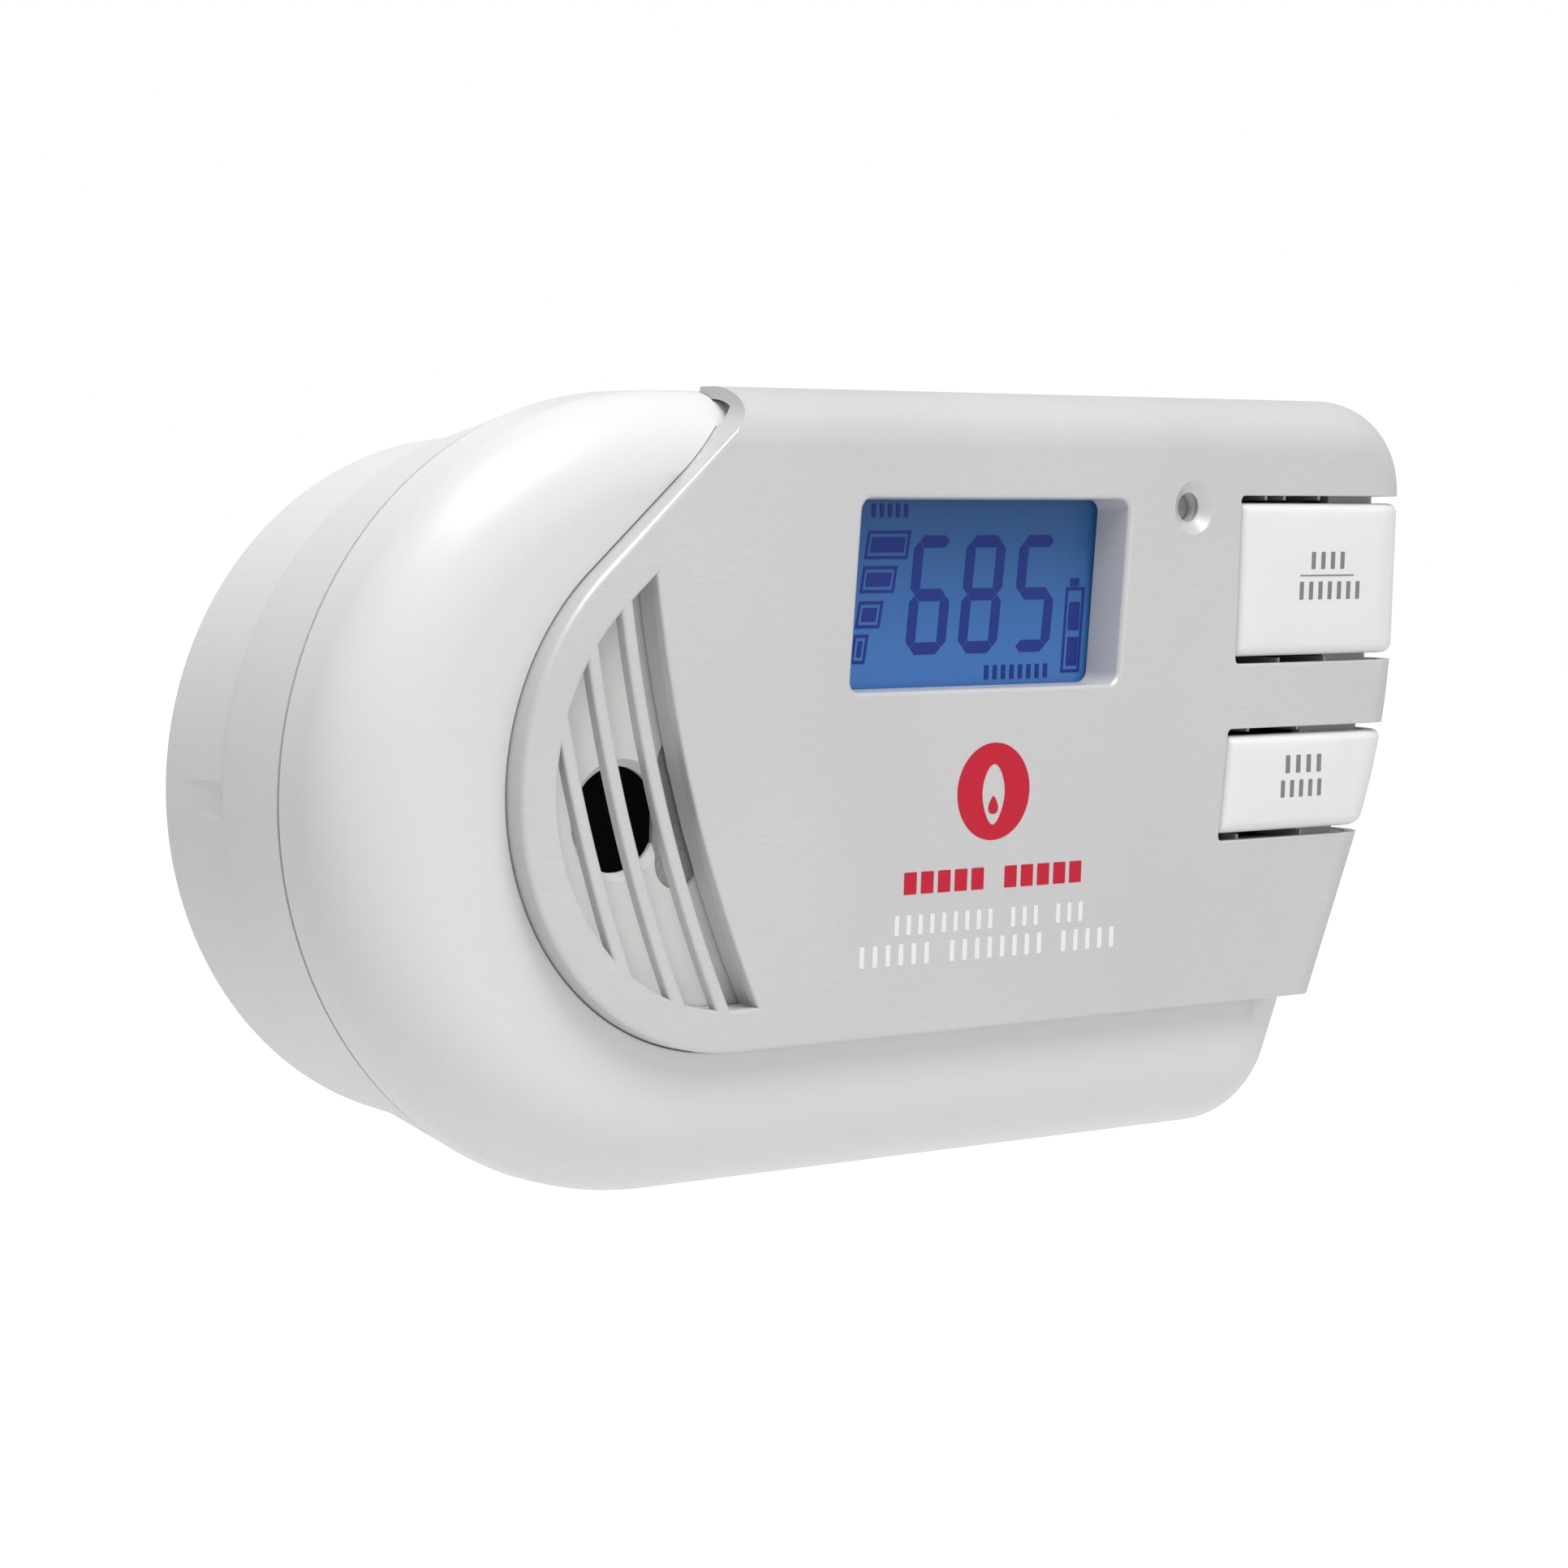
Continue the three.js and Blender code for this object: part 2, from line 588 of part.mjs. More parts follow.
// The sound chamber on the sensor board: a cup with a neck up to the baffle's hole, with the piezo
// disc on its seat inside.
function hornCup(front) {
  const { x, z, r } = HORN;
  const round = (radius, y0, y1) => post(x, z, radius, y0, y1, radius, 28);
  const cup = HORN_CUP;
  const neckY = leanY(BAFFLE_Y + BAFFLE_THICK + GAP, z - r - 2);
  const neck = round(r + cup.neckWall, neckY, cup.chamberY);
  const body = round(cup.r, cup.frontY, front).add(neck);
  const chamber = round(cup.r - cup.wall, cup.chamberY, 0);
  addPiece("horn_cup", body.subtract(round(r, -REACH, 0)).subtract(chamber), BLACK);
  addPiece("piezo_disc", round(PIEZO.r, PIEZO.y, PIEZO.y + PIEZO.thick), BRASS);
  const seat = round(PIEZO.r - 0.2, PIEZO.y + PIEZO.thick + GAP, front);
  addPiece("piezo_seat", seat.subtract(round(PIEZO.r - PIEZO.seatWall, -REACH, 0)), BLACK);
}

function hornBaffle() {
  const o = OBLONG;
  let baffle = slab(grilleOutline(), BAFFLE_Y, BAFFLE_Y + BAFFLE_THICK);
  baffle = baffle.intersect(block(-REACH, BAFFLE_RIGHT, -REACH, 0, -REACH, 30));
  const hole = union(
    post(HORN.x, HORN.z, HORN.r, -REACH, 0, HORN.r, 28),
    post(HORN.x, HORN.z, HORN.r + 1.6, BAFFLE_Y - 1, BAFFLE_Y + 1, HORN.r, 28),
  );
  const bottom = o.z - o.h / 2;
  const top = o.z + o.h / 2;
  const oblong = leaningOutline(o.x - o.w / 2, o.x + o.w / 2, bottom, top, 0, 3.4);
  baffle = baffle.subtract(hole).subtract(slab(oblong, -REACH, 0));
  addPiece("horn_baffle", lean(baffle), WHITE);
  const padY = BAFFLE_Y + BAFFLE_THICK + GAP;
  const pad = slab(boxOutline(o.x - 0.6, o.x + 5.5, o.z - 12, o.z + 12), padY, padY + FILTER_THICK);
  addPiece("gas_filter", lean(pad), GREY);
}

function powerSupply() {
  const board = slab(polygon(POWER_BOARD_EDGE), POWER_BOARD_Y, POWER_BOARD_Y + BOARD_THICK);
  addPiece("power_board", board, GREEN);
  const back = POWER_BOARD_Y + BOARD_THICK + GAP;
  const c = CORE;
  const inner = {
    left: c.left + c.limb,
    right: c.right - c.limb,
    bottom: c.bottom + c.yoke,
    top: c.top - c.yoke,
  };
  const core = plinth(c, back, back + c.depth).subtract(plinth(inner, -REACH, 0));
  addPiece("transformer_core", core, STEEL);
  addPiece("transformer_winding", plinth(inner, back + 1.5, back + 15.5, -0.4), COPPER);
  CAPACITORS.forEach(({ x, z, r, height }, i) => {
    addPiece("filter_capacitor_" + (i + 1), post(x, z, r, back, back + height, r, 20), BLACK);
  });
  const v = VARISTOR;
  addPiece("varistor", post(v.x, v.z, v.r, back, back + v.height, v.r, 20), BLUE);
  addPiece("fuse", plinth(FUSE, back, back + FUSE.height), GREY);
}

// ---- rear case, battery and plug ----

function rearSkin(inwards, openFront) {
  const first = slab(
    bodyOutline(-REAR_IN_FRONT - inwards),
    SPLIT_Y - 60,
    STEP_Y - inwards * 0.3,
    [REAR_IN_STEP - REAR_IN_FRONT, STEP_Y - SPLIT_Y],
    1,
  );
  const second = slab(
    bodyOutline(-REAR_IN_SECOND - inwards),
    STEP_Y - 50,
    -inwards,
    [REAR_IN_BACK - REAR_IN_SECOND, -STEP_Y - inwards],
    1,
  );
  return union(first, second).subtract(frontOf(openFront));
}

function rearCase() {
  let shell = rearSkin(0, SPLIT_Y).subtract(rearSkin(REAR_WALL, SPLIT_Y - 1));
  const lip = slab(bodyOutline(-SHELL_WALL - 0.4), SPLIT_Y - LIP, SPLIT_Y + 3);
  const lipHole = slab(bodyOutline(-SHELL_WALL - 1.7), -REACH, REACH);
  shell = shell.add(lip.subtract(lipHole));
  const bay = { left: BAY.left, right: BAY.right, bottom: -BAY.half, top: BAY.half };
  shell = shell.add(plinth(bay, BAY.front - BAY_WALL, -0.5, BAY_WALL));
  const r = CASE_SCREW.post;
  for (const [x, z] of CASE_SCREWS) shell = shell.add(post(x, z, r, SPLIT_Y - 1.7, -1, r, 14));
  const p = PLUG;
  const socket = {
    left: p.x - p.w / 2,
    right: p.x + p.w / 2,
    bottom: p.z - p.h / 2,
    top: p.z + p.h / 2,
  };
  shell = shell.add(plinth(socket, p.front - 1, -1, p.wall));
  shell = shell.intersect(rearSkin(0, SPLIT_Y - LIP).add(lip));
  shell = shell.subtract(plinth(bay, BAY.front, 2)).subtract(doorOpening());
  shell = shell.subtract(plinth(socket, p.front - GAP, 2, GAP));
  shell = shell.subtract(block(p.x - 9, p.x + 9, BLADE_ROOT_Y, 0, p.z - 6, p.z + 6));
  shell = shell.subtract(plinth(LABEL, -LABEL.sink, 2, GAP));
  const { bore, well } = CASE_SCREW;
  for (const [x, z] of CASE_SCREWS) {
    shell = shell.subtract(post(x, z, bore, -REACH, 5, bore, 14));
    shell = shell.subtract(post(x, z, well, SCREW_SEAT_Y, 5, well, 14));
  }
  addPiece("rear_case", shell, REAR_WHITE);
}

// The recess the door lies in, its hinge notches and the finger recess.
function doorOpening() {
  const b = BAY;
  const floor = -DOOR_THICK - GAP;
  const h = DOOR_HINGE_X;
  const face = block(b.left - 2.5, h + 1.9, floor, 2, -b.half - 2.6, b.half + 2.6);
  const finger = block(-REACH, RECESS_X, STEP_Y + 0.4, 2, -RECESS_HALF, RECESS_HALF);
  const latchPath = block(b.left - 6.5, b.left, floor - 2.2, 2, -RECESS_HALF, RECESS_HALF);
  const knuckles = block(h - 1.9, h + 1.9, -3.2, 2, -b.half + 1, b.half - 1);
  return union(face, finger, latchPath, knuckles);
}

function batteryDoor() {
  const b = BAY;
  const edge = b.half + 2.3;
  const leaf = block(b.left - 2.2, DOOR_HINGE_X, -DOOR_THICK, -0.1, -edge, edge);
  const barrel = new THREE.CylinderGeometry(HINGE_RADIUS, HINGE_RADIUS, 2 * b.half - 3, 16);
  barrel.rotateX(Math.PI / 2);
  barrel.translate(DOOR_HINGE_X, -HINGE_RADIUS - 0.1, 0);
  const half = RECESS_HALF - 0.5;
  const tab = block(b.left - 6, b.left - 2, -DOOR_THICK - 2, -0.1, -half, half);
  addPiece("battery_door", union(leaf, solid(barrel), tab), REAR_WHITE);
}

function battery() {
  const t = BATTERY;
  const end = t.x - t.w / 2 + t.snap;
  const shape = leaningOutline(end, t.x + t.w / 2, -t.h / 2, t.h / 2, 0, 2);
  addPiece("battery", slab(shape, t.y - t.d / 2, t.y + t.d / 2), BLACK);
  const plate = block(BAY.left + 0.3, BAY.left + 2.1, t.y - 4, t.y + 4, -11, 11);
  addPiece("battery_contact_plate", plate, BLACK);
  ["plus", "minus"].forEach((pole, i) => {
    const snap = new THREE.CylinderGeometry(2.6, 2.6, 1.8, 14);
    snap.rotateZ(Math.PI / 2);
    snap.translate(end - GAP - 0.9, t.y, (i - 0.5) * SNAP_PITCH);
    addPiece("battery_terminal_" + pole, solid(snap), STEEL);
  });
}

function bladeX(side) {
  return PLUG.x + (side - 0.5) * BLADE_PITCH;
}

function plug() {
  const p = PLUG;
  let base = block(p.x - p.w / 2, p.x + p.w / 2, p.front, -0.1, p.z - p.h / 2, p.z + p.h / 2);
  BLADE_WIDTHS.forEach((width, side) => {
    const x = bladeX(side);
    const half = width / 2;
    const thick = BLADE_THICK / 2;
    const way = { left: x - thick, right: x + thick, bottom: -half, top: half };
    base = base.subtract(plinth(way, -REACH, 5, GAP));
    const nose = block(x - thick, x + thick, 0, BLADE_LENGTH, -half + 1.3, half - 1.3);
    const blade = plinth(way, BLADE_ROOT_Y, BLADE_LENGTH - BLADE_NOSE).add(nose);
    addPiece(side ? "blade_neutral" : "blade_line", blade, BRASS);
  });
  addPiece("plug_base", base, BLACK);
}

function ratingLabel() {
  addPiece("rating_label", plinth(LABEL, -0.3, -0.1), PAPER);
}

// ---- fasteners ----

function screwBody(x, z, headY, screw) {
  const { head, shank, tip } = screw;
  const arm = head * 0.6;
  const cross = union(
    block(x - arm, x + arm, headY - 0.9, headY + 1, z - 0.35, z + 0.35),
    block(x - 0.35, x + 0.35, headY - 0.9, headY + 1, z - arm, z + arm),
  );
  const body = post(x, z, head, headY - SCREW_HEAD, headY).add(
    post(x, z, shank, tip, headY - 1, shank, 12),
  );
  return body.subtract(cross);
}

function screws() {
  CASE_SCREWS.forEach(([x, z], i) => {
    const headY = SCREW_SEAT_Y + GAP + SCREW_HEAD;
    addPiece("case_screw_" + (i + 1), screwBody(x, z, headY, CASE_SCREW), STEEL);
  });
  BOARD_SCREWS.forEach(([x, z], i) => {
    const headY = BOARD_Y + BOARD_THICK + GAP + SCREW_HEAD;
    addPiece("board_screw_" + (i + 1), screwBody(x, z, headY, BOARD_SCREW), STEEL);
  });
}

frontShell();
facePlate();
for (const button of BUTTONS) pushButton(button);
display();
hornBaffle();
mainBoard();
sensors();
powerSupply();
rearCase();
batteryDoor();
battery();
plug();
ratingLabel();
screws();

export default part;
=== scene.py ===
import json
import math

import bmesh
import bpy
import numpy as np
from bpy.props import FloatProperty, FloatVectorProperty, PointerProperty
from bpy.types import Operator, Panel, PropertyGroup
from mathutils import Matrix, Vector


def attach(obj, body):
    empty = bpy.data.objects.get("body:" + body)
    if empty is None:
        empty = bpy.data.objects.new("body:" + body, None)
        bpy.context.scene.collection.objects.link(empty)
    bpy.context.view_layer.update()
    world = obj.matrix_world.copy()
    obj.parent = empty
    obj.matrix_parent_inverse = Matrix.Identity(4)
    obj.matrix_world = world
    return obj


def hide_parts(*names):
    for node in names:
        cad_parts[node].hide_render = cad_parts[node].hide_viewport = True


bl_info = {
    "name": "Carbon Monoxide Detector",
    "version": (1, 0, 0),
    "blender": (4, 5, 0),
    "location": "3D View > Sidebar > Detector",
    "description": "Builds the plug-in detector's visible pieces, finishes and stage around its frame",
    "category": "Add Mesh",
}

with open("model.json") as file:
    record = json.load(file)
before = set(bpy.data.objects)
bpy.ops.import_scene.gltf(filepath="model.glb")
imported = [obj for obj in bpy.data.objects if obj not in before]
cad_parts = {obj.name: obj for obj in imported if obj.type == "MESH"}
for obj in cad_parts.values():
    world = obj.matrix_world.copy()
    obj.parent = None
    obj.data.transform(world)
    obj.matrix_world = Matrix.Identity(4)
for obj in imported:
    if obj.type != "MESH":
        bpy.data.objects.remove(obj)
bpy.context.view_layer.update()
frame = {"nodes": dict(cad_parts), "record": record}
NODES = frame["nodes"]
SLOT_OF = {s["node"]: s["material_slot"] for s in frame["record"]["subparts"]}

MM = 0.001
FAR = 150.0
QUARTER = math.pi / 2

# Outline of the body, in millimetres, seen from the front.
HALF_HEIGHT = 50.8
LEFT_X, LEFT_REACH, LEFT_STEPS = -38.5, 51.9, 96
RIGHT_X, FLANK_Z, FLANK_TURN, FLANK_RADIUS = 90.8, 4.0, math.radians(21.5), 80.0
TOP_CORNER, BOTTOM_CORNER = 12.6, 14.0
LEAN, LEAN_Z = 0.045, 40.0

# Depths and walls.
PLATE_Y, SHELL_Y, SPLIT_Y, STEP_Y = -54.0, -50.9, -34.0, -16.2
GAP, GROOVE, SHELL_WALL, LIP, POCKET_GAP = 0.3, 0.8, 2.4, 2.6, 0.12
SHELL_ROUND, PLATE_ROUND = (12.0, 10.0), (7.5, 9.0)
PLATE_WALL, PLATE_PROUD, PLATE_END_Y = 1.6, 0.5, -42.6
PLATE_RIM, PLATE_RIM_Y = 1.4, PLATE_Y + 5
PLATE_ARC, PLATE_SLANT = (-32.5, 2.0, 34.6), math.radians(41)
PLATE_TOP_X, PLATE_TURN = -32.2, 5.0

# Grille, baffle, window and indicator.
GRILLE_EDGE, SLAT_CENTRE = 5.5, (126.4, 54.6)
SLOT_RADIUS, SLOT_PITCH, SLAT_WIDTH, SLOTS = 175.6, 5.97, 1.9, 4
BAFFLE_Y, BAFFLE_THICK, BAFFLE_RIGHT = -48.2, 2.0, -26.0
TUB_FRONT_Y = PLATE_Y + 0.9
HORN, HORN_CHAMFER = (-47.7, -2.7, 6.7), 1.6
OBLONG, OBLONG_CORNER = (-38.2, -2.1, 7.2, 19.4), 3.4
WINDOW = dict(left=-14.8, right=33.2, top=37.3, bottom=12.4, slope=0.052)
WINDOW_DEPTH, WINDOW_DRAFT, WINDOW_CORNER, TUB_WALL = 5.4, 1.3, 1.6, 1.2
WINDOW_UPRIGHT_DRAFT = 0.15
DISPLAY = (9.4, 25.0, 54.0, 30.0)
DISPLAY_GLOW, MARK_HEIGHT = 0.2, 0.06
GLASS_Y = PLATE_Y + WINDOW_DEPTH + 0.7
LAMP = (45.6, 36.2, 2.0, 3.7)

# Push buttons.
TEST = dict(left=55.4, lean=0.0, top=36.8, bottom=15.6, stem=68.0)
PEAK = dict(left=53.9, lean=0.08, top=4.6, bottom=-8.9, stem=64.0)
KEY_GAP, KEY_SIDE_GAP, KEY_SKIN, KEY_END_Y, KEY_BACK_Y = 1.0, 0.45, 2.4, -45.5, -43.7
KEY_CLEAR, KEY_BACKING, KEY_FOOT, KEY_FLAT = 3.6, 1.5, 1.6, 27.0
KEY_FAR_X, RIB_WIDTH, RIB_FRONT_Y = 120.0, 0.5, PLATE_Y + 2.6
KEY_RIBS = [(62.3, 37.2, 1), (66.0, 37.2, 1), (73.0, 37.2, 1), (66.1, 15.2, -1), (75.5, 15.2, -1),
            (60.5, 5.0, 1), (70.5, 5.0, 1), (59.1, -9.3, -1), (72.0, -9.3, -1)]
STEM_R, STEM_TIP_R, PLUNGER_TIP_Y = 2.2, 1.8, -43.0

# Printed rows: left, right, bottom, top, blocks in each group, and a block's share of its pitch.
TEST_ROWS = [(68.9, 75.6, 27.6, 30.0, [4], 0.42), (66.7, 78.9, 23.35, 25.85, [7], 0.42)]
TEST_LINE = (66.7, 77.6, 26.6, 26.8)
PEAK_ROWS = [(65.3, 72.5, -0.9, 1.6, [4], 0.42), (64.5, 72.7, -4.3, -1.9, [5], 0.42)]
RED_ROWS = [(-5.2, 26.6, -14.1, -11.2, [5, 5], 0.74)]
PALE_ROWS = [(-6.6, 27.1, -19.4, -16.8, [9, 3, 3], 0.36), (-12.5, 33.1, -23.3, -20.5, [6, 8, 5], 0.36)]
BADGE = (10.1, -1.2, 6.45)

# Marks on the display: level boxes as left, right, bottom and top, then digits, battery sign and rows.
LEVELS = [(-8.15, -0.7, 29.4, 33.1), (-8.8, -2.9, 25.0, 28.5),
          (-9.4, -5.2, 20.45, 23.95), (-10.05, -7.6, 15.85, 19.65)]
LEVEL_LINE, LEVEL_MARGIN, LEVEL_LEAN = 0.42, 0.85, 0.15
DIGITS = {"5": "afgcd", "6": "afgedc", "8": "abcdefg"}
READING, READING_X, DIGIT = "685", (-0.3, 8.95, 18.55), (16.85, 32.45, 7.0, 1.6, 0.085)
CELL, CELL_LEAN = (27.55, 31.0, 13.9, 25.4), 0.05
CELL_FILLS = [(28.6, 30.2, 25.5, 26.6), (28.3, 30.3, 14.8, 18.7), (28.45, 30.45, 19.6, 23.4)]
DISPLAY_ROWS = [(-7.4, -1.1, 34.8, 36.6, [5], 0.5), (13.3, 24.8, 13.3, 15.2, [8], 0.5)]

# Rear case, battery bay and plug.
REAR_IN = (0.2, 3.7, 4.3, 5.4)
REAR_WALL, BACK_EDGE = 2.4, 0.9
BAY = (-77.0, -23.5, 14.4, -22.0)
BAY_WALL, DOOR_THICK, HINGE_X, HINGE_R = 1.4, 1.8, -21.4, 1.3
RECESS_HALF, RECESS_X = 2.6, -85.3
GROOVES, GROOVE_PITCH, GROOVE_HALF = 5, 2.2, 9.0
PLUG, PLUG_FRONT_Y, PLUG_WALL = (30.0, 0.0, 24.0, 30.0), -12.0, 2.0
BLADE_PITCH, BLADE_LENGTH, BLADE_THICK, BLADE_TIP = 12.7, 17.5, 1.5, 2.0
BLADE_HOLE_R, BLADE_HOLE_Y = 1.55, 11.5
BLADES = {"blade_line": (-0.5, 6.35), "blade_neutral": (0.5, 7.9)}
LABEL = (47.0, 73.0, -8.0, 26.0)
LABEL_LEFT, LABEL_TOP, LABEL_PITCH, LABEL_LINE, LABEL_FACE_Y = 49.5, 22.0, 3.1, 0.9, -0.09
LABEL_RUNS = (15, 20.5, 18, 20.5, 12, 19, 20.5, 16, 8)
CASE_SCREWS = [(-69, 22), (-69, -22), (77.5, 33), (57, -32)]
BOARD_SCREWS = [(-13, -26), (-13, 2), (46, -26), (68, 9.2)]
CASE_POST_R, CASE_POST_Y, CASE_HOLE_R, CASE_HOLE_Y = 3.4, -44.0, 1.3, -41.2
BOARD_POST_R, BOARD_POST_Y, BOARD_HOLE_R, BOARD_HOLE_Y = 2.6, -38.3, 1.2, -44.7
WELL_R, WELL_RIM_R, WELL_POST_R, SHANK_R = 3.0, 3.6, 3.6, 1.8

# Stage, in metres: each light's name, power setting, size and place.
LIGHTS = [("key light", "key_power", 0.55, (-0.05, -0.62, 0.95)),
          ("fill light", "fill_power", 0.6, (0.35, -0.95, 0.1)),
          ("top light", "top_power", 0.7, (-0.2, -0.3, 1.1)),
          ("rear light", "fill_power", 0.8, (0.1, 0.9, 0.6))]
LIGHT_AIM = (0.0, -0.03, 0.0)
CAMERA_AT, CAMERA_AIM = (-0.3758, -0.4691, 0.03485), (-0.0275, -0.054, 0.00135)
FLOOR_HALF, FLOOR_LINES, FLOOR_GLOW = 6000, 5, 0.6


# ---- outlines: arrays of (x, z), drawn anticlockwise ----


def arc(cx, cz, r, start, end, steps):
    """Points of a circle: x = cx + r cos a, z = cz + r sin a, for a from start to end."""
    a = np.linspace(start, end, steps + 1)
    return np.column_stack([cx + r * np.cos(a), cz + r * np.sin(a)])


def flank_x(z):
    """x of the slanted lower flank at the height z."""
    return RIGHT_X - math.tan(FLANK_TURN) * (FLANK_Z - z)


def body_outline(grow=0.0):
    """Half an ellipse at the left, then a round corner, a slanted flank blending into an upright one,
    and a round corner at the top; every arc's radius has `grow` added."""
    low = flank_x(-HALF_HEIGHT) - BOTTOM_CORNER * math.tan((QUARTER - FLANK_TURN) / 2)
    bend = FLANK_Z + FLANK_RADIUS * math.tan(FLANK_TURN / 2)
    left = arc(0, 0, 1, QUARTER, 3 * QUARTER, LEFT_STEPS) * (LEFT_REACH + grow, HALF_HEIGHT + grow)
    return np.vstack([
        left + (LEFT_X, 0),
        arc(low, BOTTOM_CORNER - HALF_HEIGHT, BOTTOM_CORNER + grow, -QUARTER, -FLANK_TURN, 18),
        arc(RIGHT_X - FLANK_RADIUS, bend, FLANK_RADIUS + grow, -FLANK_TURN, 0, 12),
        arc(RIGHT_X - TOP_CORNER, HALF_HEIGHT - TOP_CORNER, TOP_CORNER + grow, 0, QUARTER, 20),
    ])


def plate_outline(grow=0.0):
    """A line down from the top, a small bend on to a slanted line, and a large arc that ends level at
    the bottom; it runs far past the body at the top and right."""
    cx, cz, r = PLATE_ARC[0], PLATE_ARC[1], PLATE_ARC[2] + grow
    start_x, start_z = cx - r * math.sin(PLATE_SLANT), cz + r * math.cos(PLATE_SLANT)
    top_x, turn = PLATE_TOP_X - grow, PLATE_TURN + grow
    corner = start_z + (top_x - start_x) * math.tan(PLATE_SLANT)
    tangent = turn * math.tan((QUARTER - PLATE_SLANT) / 2)
    return np.vstack([
        [[top_x, FAR]],
        arc(top_x - turn, corner + tangent, turn, 0, PLATE_SLANT - QUARTER, 12),
        arc(cx, cz, r, PLATE_SLANT + QUARTER, 3 * QUARTER, 72),
        [[FAR, cz - r], [FAR, FAR]],
    ])


def grille_outline(grow=0.0):
    """The region of the slots: a straight slanted upper edge and an arc, open towards the right."""
    cx, cz, r, run = PLATE_ARC[0], PLATE_ARC[1], PLATE_ARC[2] - GRILLE_EDGE + grow, 40
    start = (cx - r * math.sin(PLATE_SLANT), cz + r * math.cos(PLATE_SLANT))
    return np.vstack([
        [[start[0] + run * math.cos(PLATE_SLANT), start[1] + run * math.sin(PLATE_SLANT)]],
        arc(cx, cz, r, PLATE_SLANT + QUARTER, 3 * QUARTER, 64),
        [[cx + run, cz - r]],
    ])


def slot_outline(inner, outer):
    """The band between two radii about the slats' common centre, widened by `grow` on both sides."""
    cx, cz = SLAT_CENTRE
    first, last = math.pi + 0.12, math.pi + 0.52
    return lambda grow: np.vstack([
        arc(cx, cz, outer + grow, first, last, 40), arc(cx, cz, inner - grow, last, first, 40)
    ])


def circle(x, z, steps=64):
    """A circle about (x, z) whose radius is the value given to the outline."""
    return lambda r: arc(x, z, r, 0, 2 * math.pi * (1 - 1 / steps), steps - 1)


def round_box(left, right, bottom, top, corner=0.0, slope=0.0, steps=8):
    """A four-sided outline with round corners; x is moved by slope times the height above its middle."""
    def outline(grow=0.0):
        c = max(corner + grow, 0.02)
        l, r, b, t = left - grow + c, right + grow - c, bottom - grow + c, top + grow - c
        points = np.vstack([arc(r, t, c, 0, QUARTER, steps), arc(l, t, c, QUARTER, 2 * QUARTER, steps),
                            arc(l, b, c, 2 * QUARTER, 3 * QUARTER, steps),
                            arc(r, b, c, 3 * QUARTER, 4 * QUARTER, steps)])
        points[:, 0] += slope * (points[:, 1] - (top + bottom) / 2)
        return points
    return outline


def centred_box(x, z, width, height, corner=0.0):
    """A four-sided outline about the middle (x, z)."""
    return round_box(x - width / 2, x + width / 2, z - height / 2, z + height / 2, corner)


def key_outline(key, side, upright, corner=0.0):
    """A button's sides, moved out by `side` at the left and `upright` above and below; the right end
    lies past the body."""
    middle = (key["top"] + key["bottom"]) / 2
    def outline(grow=0.0):
        low, high = key["bottom"] - upright - grow, key["top"] + upright + grow
        c = max(corner + grow, 0.02)
        left = key["left"] - side - grow
        points = np.vstack([[[KEY_FAR_X, low], [KEY_FAR_X, high]],
                            arc(left + c, high - c, c, QUARTER, 2 * QUARTER, 6),
                            arc(left + c, low + c, c, 2 * QUARTER, 3 * QUARTER, 6)])
        points[:, 0] += key["lean"] * (points[:, 1] - middle)
        return points
    return outline


# ---- solids ----


def mesh_object(name, verts, faces):
    """A mesh of points given in millimetres."""
    mesh = bpy.data.meshes.new(name)
    mesh.from_pydata((np.asarray(verts, float) * MM).tolist(), [], faces)
    mesh.update()
    item = bpy.data.objects.new(name, mesh)
    bpy.context.scene.collection.objects.link(item)
    return item


def ring_faces(rings, around):
    """Four-sided faces between closed rings that each have `around` points."""
    i = np.arange(rings - 1)[:, None] * around
    j = np.arange(around)[None, :]
    k = (j + 1) % around
    return np.stack([i + j, i + around + j, i + around + k, i + k], -1).reshape(-1, 4).tolist()


def grid_faces(rows, columns):
    """Four-sided faces of a grid of points that is counted along its columns first."""
    i, j = np.meshgrid(np.arange(rows - 1), np.arange(columns - 1), indexing="ij")
    first = i * columns + j
    return np.stack([first, first + columns, first + columns + 1, first + 1], -1).reshape(-1, 4)


def loft(outline, profile):
    """A profile carried round an outline: ring i is outline(grow_i) in the plane y_i, and the first and
    last rings are closed by flat ends. The profile runs from front to back."""
    rings = [np.insert(outline(grow), 1, y, axis=1) for grow, y in profile]
    around = len(rings[0])
    faces = ring_faces(len(rings), around)
    last = (len(rings) - 1) * around
    faces += [list(range(around)), list(range(last, last + around))[::-1]]
    return mesh_object("tool", np.vstack(rings), faces)


def slab(outline, y0, y1, grow=0.0):
    """A straight loft between two depths."""
    return loft(outline, [(grow, y0), (grow, y1)])


def block(x0, x1, y0, y1, z0, z1):
    """A box between two values on each axis."""
    corners = np.array([[x0, z0], [x1, z0], [x1, z1], [x0, z1]])
    return slab(lambda grow: corners, y0, y1)


def post(x, z, r, y0, y1, steps=48):
    """A cylinder along y."""
    return loft(circle(x, z, steps), [(r, y0), (r, y1)])


def nose(grow, y, size, steps=18):
    """Quarter of an ellipse: for t from 0 to a right angle the outline stands in by a (1 - sin t) at
    the depth y + b (1 - cos t)."""
    t = np.linspace(0, QUARTER, steps + 1)
    return list(zip(grow - size[0] * (1 - np.sin(t)), y + size[1] * (1 - np.cos(t))))


def flare(r, y, steps=5):
    """A hole's rounded rim: at a depth d below the surface y the hole is wider by
    r - sqrt(r r - (r - d)(r - d))."""
    d = np.linspace(0, r, steps + 1)
    return [(r + 0.01, y - 3)] + list(zip(r - np.sqrt(np.maximum(r * r - (r - d) ** 2, 0)), y + d))


